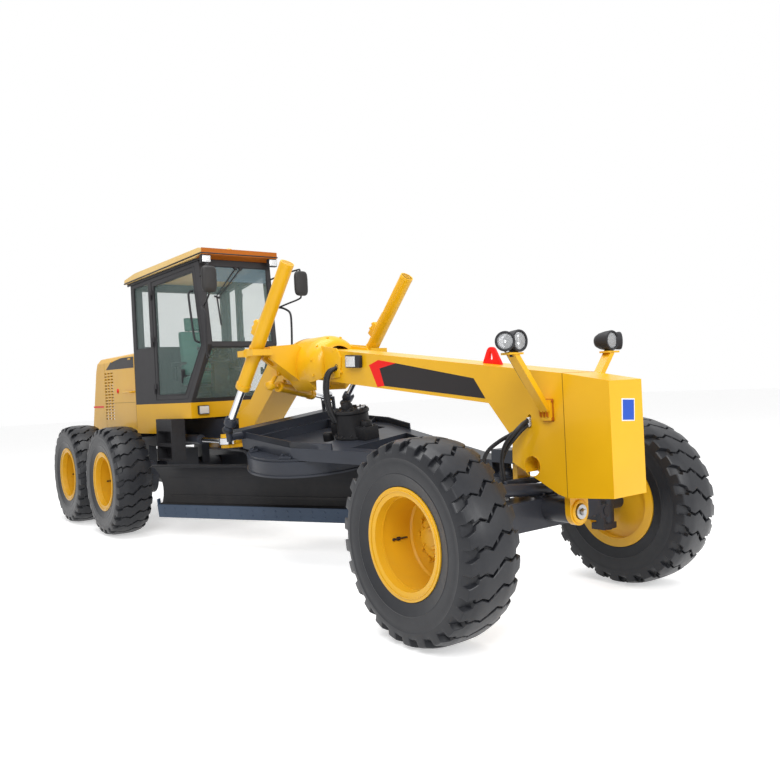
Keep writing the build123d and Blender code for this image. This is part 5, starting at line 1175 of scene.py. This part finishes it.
for y in range(-500, 501, 100):
    rear_trim.box(at(REAR - 110, y - 30, 1700), at(REAR - 118, y + 30, 2280))
rear_trim.put("rear_wall_trim", "rear", soft_black, 0.006)

# ------------------------------------------------------------ hood's marks and fittings
HOOD_SIDE = 640


def on_hood(side, out, rows):
    return [at(behind, side * (HOOD_SIDE + out), z) for behind, z in rows]


HOOD_PLATE = ((7710, 2128), (6553, 2112), (6553, 2262), (7050, 2268), (7500, 2226))
HOOD_STRIPE = ((8364, 1578), (7884, 1578), (7884, 1604), (8364, 1604))
HOOD_HANDLE = ((6584, -6), (6584, 44), (6620, 52), (6860, 52), (6899, 44), (6899, -6))
for hand, side in SIDES:
    out = (0, side, 0)
    plate(f"hood_plate_{hand}", on_hood(side, 0, HOOD_PLATE), (0, side * 0.0014, 0), "rear", black_foil)
    plate(f"hood_stripe_{hand}", on_hood(side, 0, HOOD_STRIPE), (0, side * 0.0014, 0), "rear", red)
    latch = Form()
    hub = at(7228, side * HOOD_SIDE, 1811)
    latch.lathe([(0, 0.0), (0, 0.036), (0.006, 0.034), (0.008, 0.0)], hub, out, 28)
    latch.lathe([(0.006, 0.0), (0.006, 0.02), (0.013, 0.018), (0.014, 0.0)], hub, out, 20)
    latch.put(f"hood_latch_{hand}", "rear", red)
    hose(f"hood_handle_{hand}", [at(behind, side * (HOOD_SIDE + lift), 1785) for behind, lift in HOOD_HANDLE],
         0.011, "rear", yellow)
    # panel gaps on the hood, painted as strips of yellow in shade
    seams = Form()
    for (back, low), (front, high) in (((6525, 1290), (6519, 2230)), ((7783, 1290), (7777, 2230)),
                                       ((6540, 1640), (7770, 1645))):
        seams.prism(on_hood(side, -1, ((back, low), (front, low), (front, high), (back, high))),
                    (0, side * 0.0018, 0))
    seams.put(f"hood_seams_{hand}", "rear", seam_paint)
    hinges = Form()
    for behind in (6700, 7450):
        hinges.rod(*on_hood(side, 4, ((behind + 45, 2236), (behind - 45, 2236))), 0.010, 16, 0.002)
    hinges.put(f"hood_hinges_{hand}", "rear", yellow)

# ------------------------------------------------------------ floor, light and view
scene = bpy.context.scene
scene.view_settings.view_transform = "Standard"
floor_paint = Paint("studio_floor")
floor_paint.set("Base Color", floor_paint.mix(floor_paint.noise(0.6), (0.8, 0.8, 0.8), (0.82, 0.82, 0.82)))
floor_paint.set("Roughness", 0.9)
floor_paint.set("Emission Color", floor_paint.mix(floor_paint.shown_rays(), (0, 0, 0), (1, 1, 1)))
floor_paint.set("Emission Strength", 0.5)
floor_mesh = bpy.data.meshes.new("studio_floor")
floor_mesh.from_pydata([(-60, -60, 0), (60, -60, 0), (60, 60, 0), (-60, 60, 0)], [], [(0, 1, 2, 3)])
show("studio_floor", floor_mesh, floor_paint)

world = bpy.data.worlds.new("studio")
scene.world = world
world.use_nodes = True
sky = Graph(world.node_tree)
back_light = sky.tree.nodes["Background"].inputs
back_light["Color"].default_value = (1, 1, 1, 1)
UNSEEN_LIGHT, SEEN_LIGHT = 0.5, 1.0
sky.feed(back_light["Strength"], sky.node("ShaderNodeMix", {}, {0: sky.shown_rays(), 2: UNSEEN_LIGHT, 3: SEEN_LIGHT}))

# place, aim, size, watts
LAMPS = {
    "key": ((10.0, -7.0, 8.5), (0.5, 0, 1.0), 6.0, 820),
    "top": ((0.0, -1.0, 11.0), (0, 0, 1.0), 9.0, 900),
    "front": ((13.0, 3.0, 5.0), (2.0, 0, 1.2), 5.0, 420),
}
for name, (place, aim, size, watts) in LAMPS.items():
    light = bpy.data.lights.new(name, "AREA")
    light.shape = "DISK"
    light.size = size
    light.energy = watts
    lamp = bpy.data.objects.new(name, light)
    bpy.context.collection.objects.link(lamp)
    lamp.location = place
    lamp.rotation_euler = (Vector(aim) - Vector(place)).to_track_quat("-Z", "Y").to_euler()
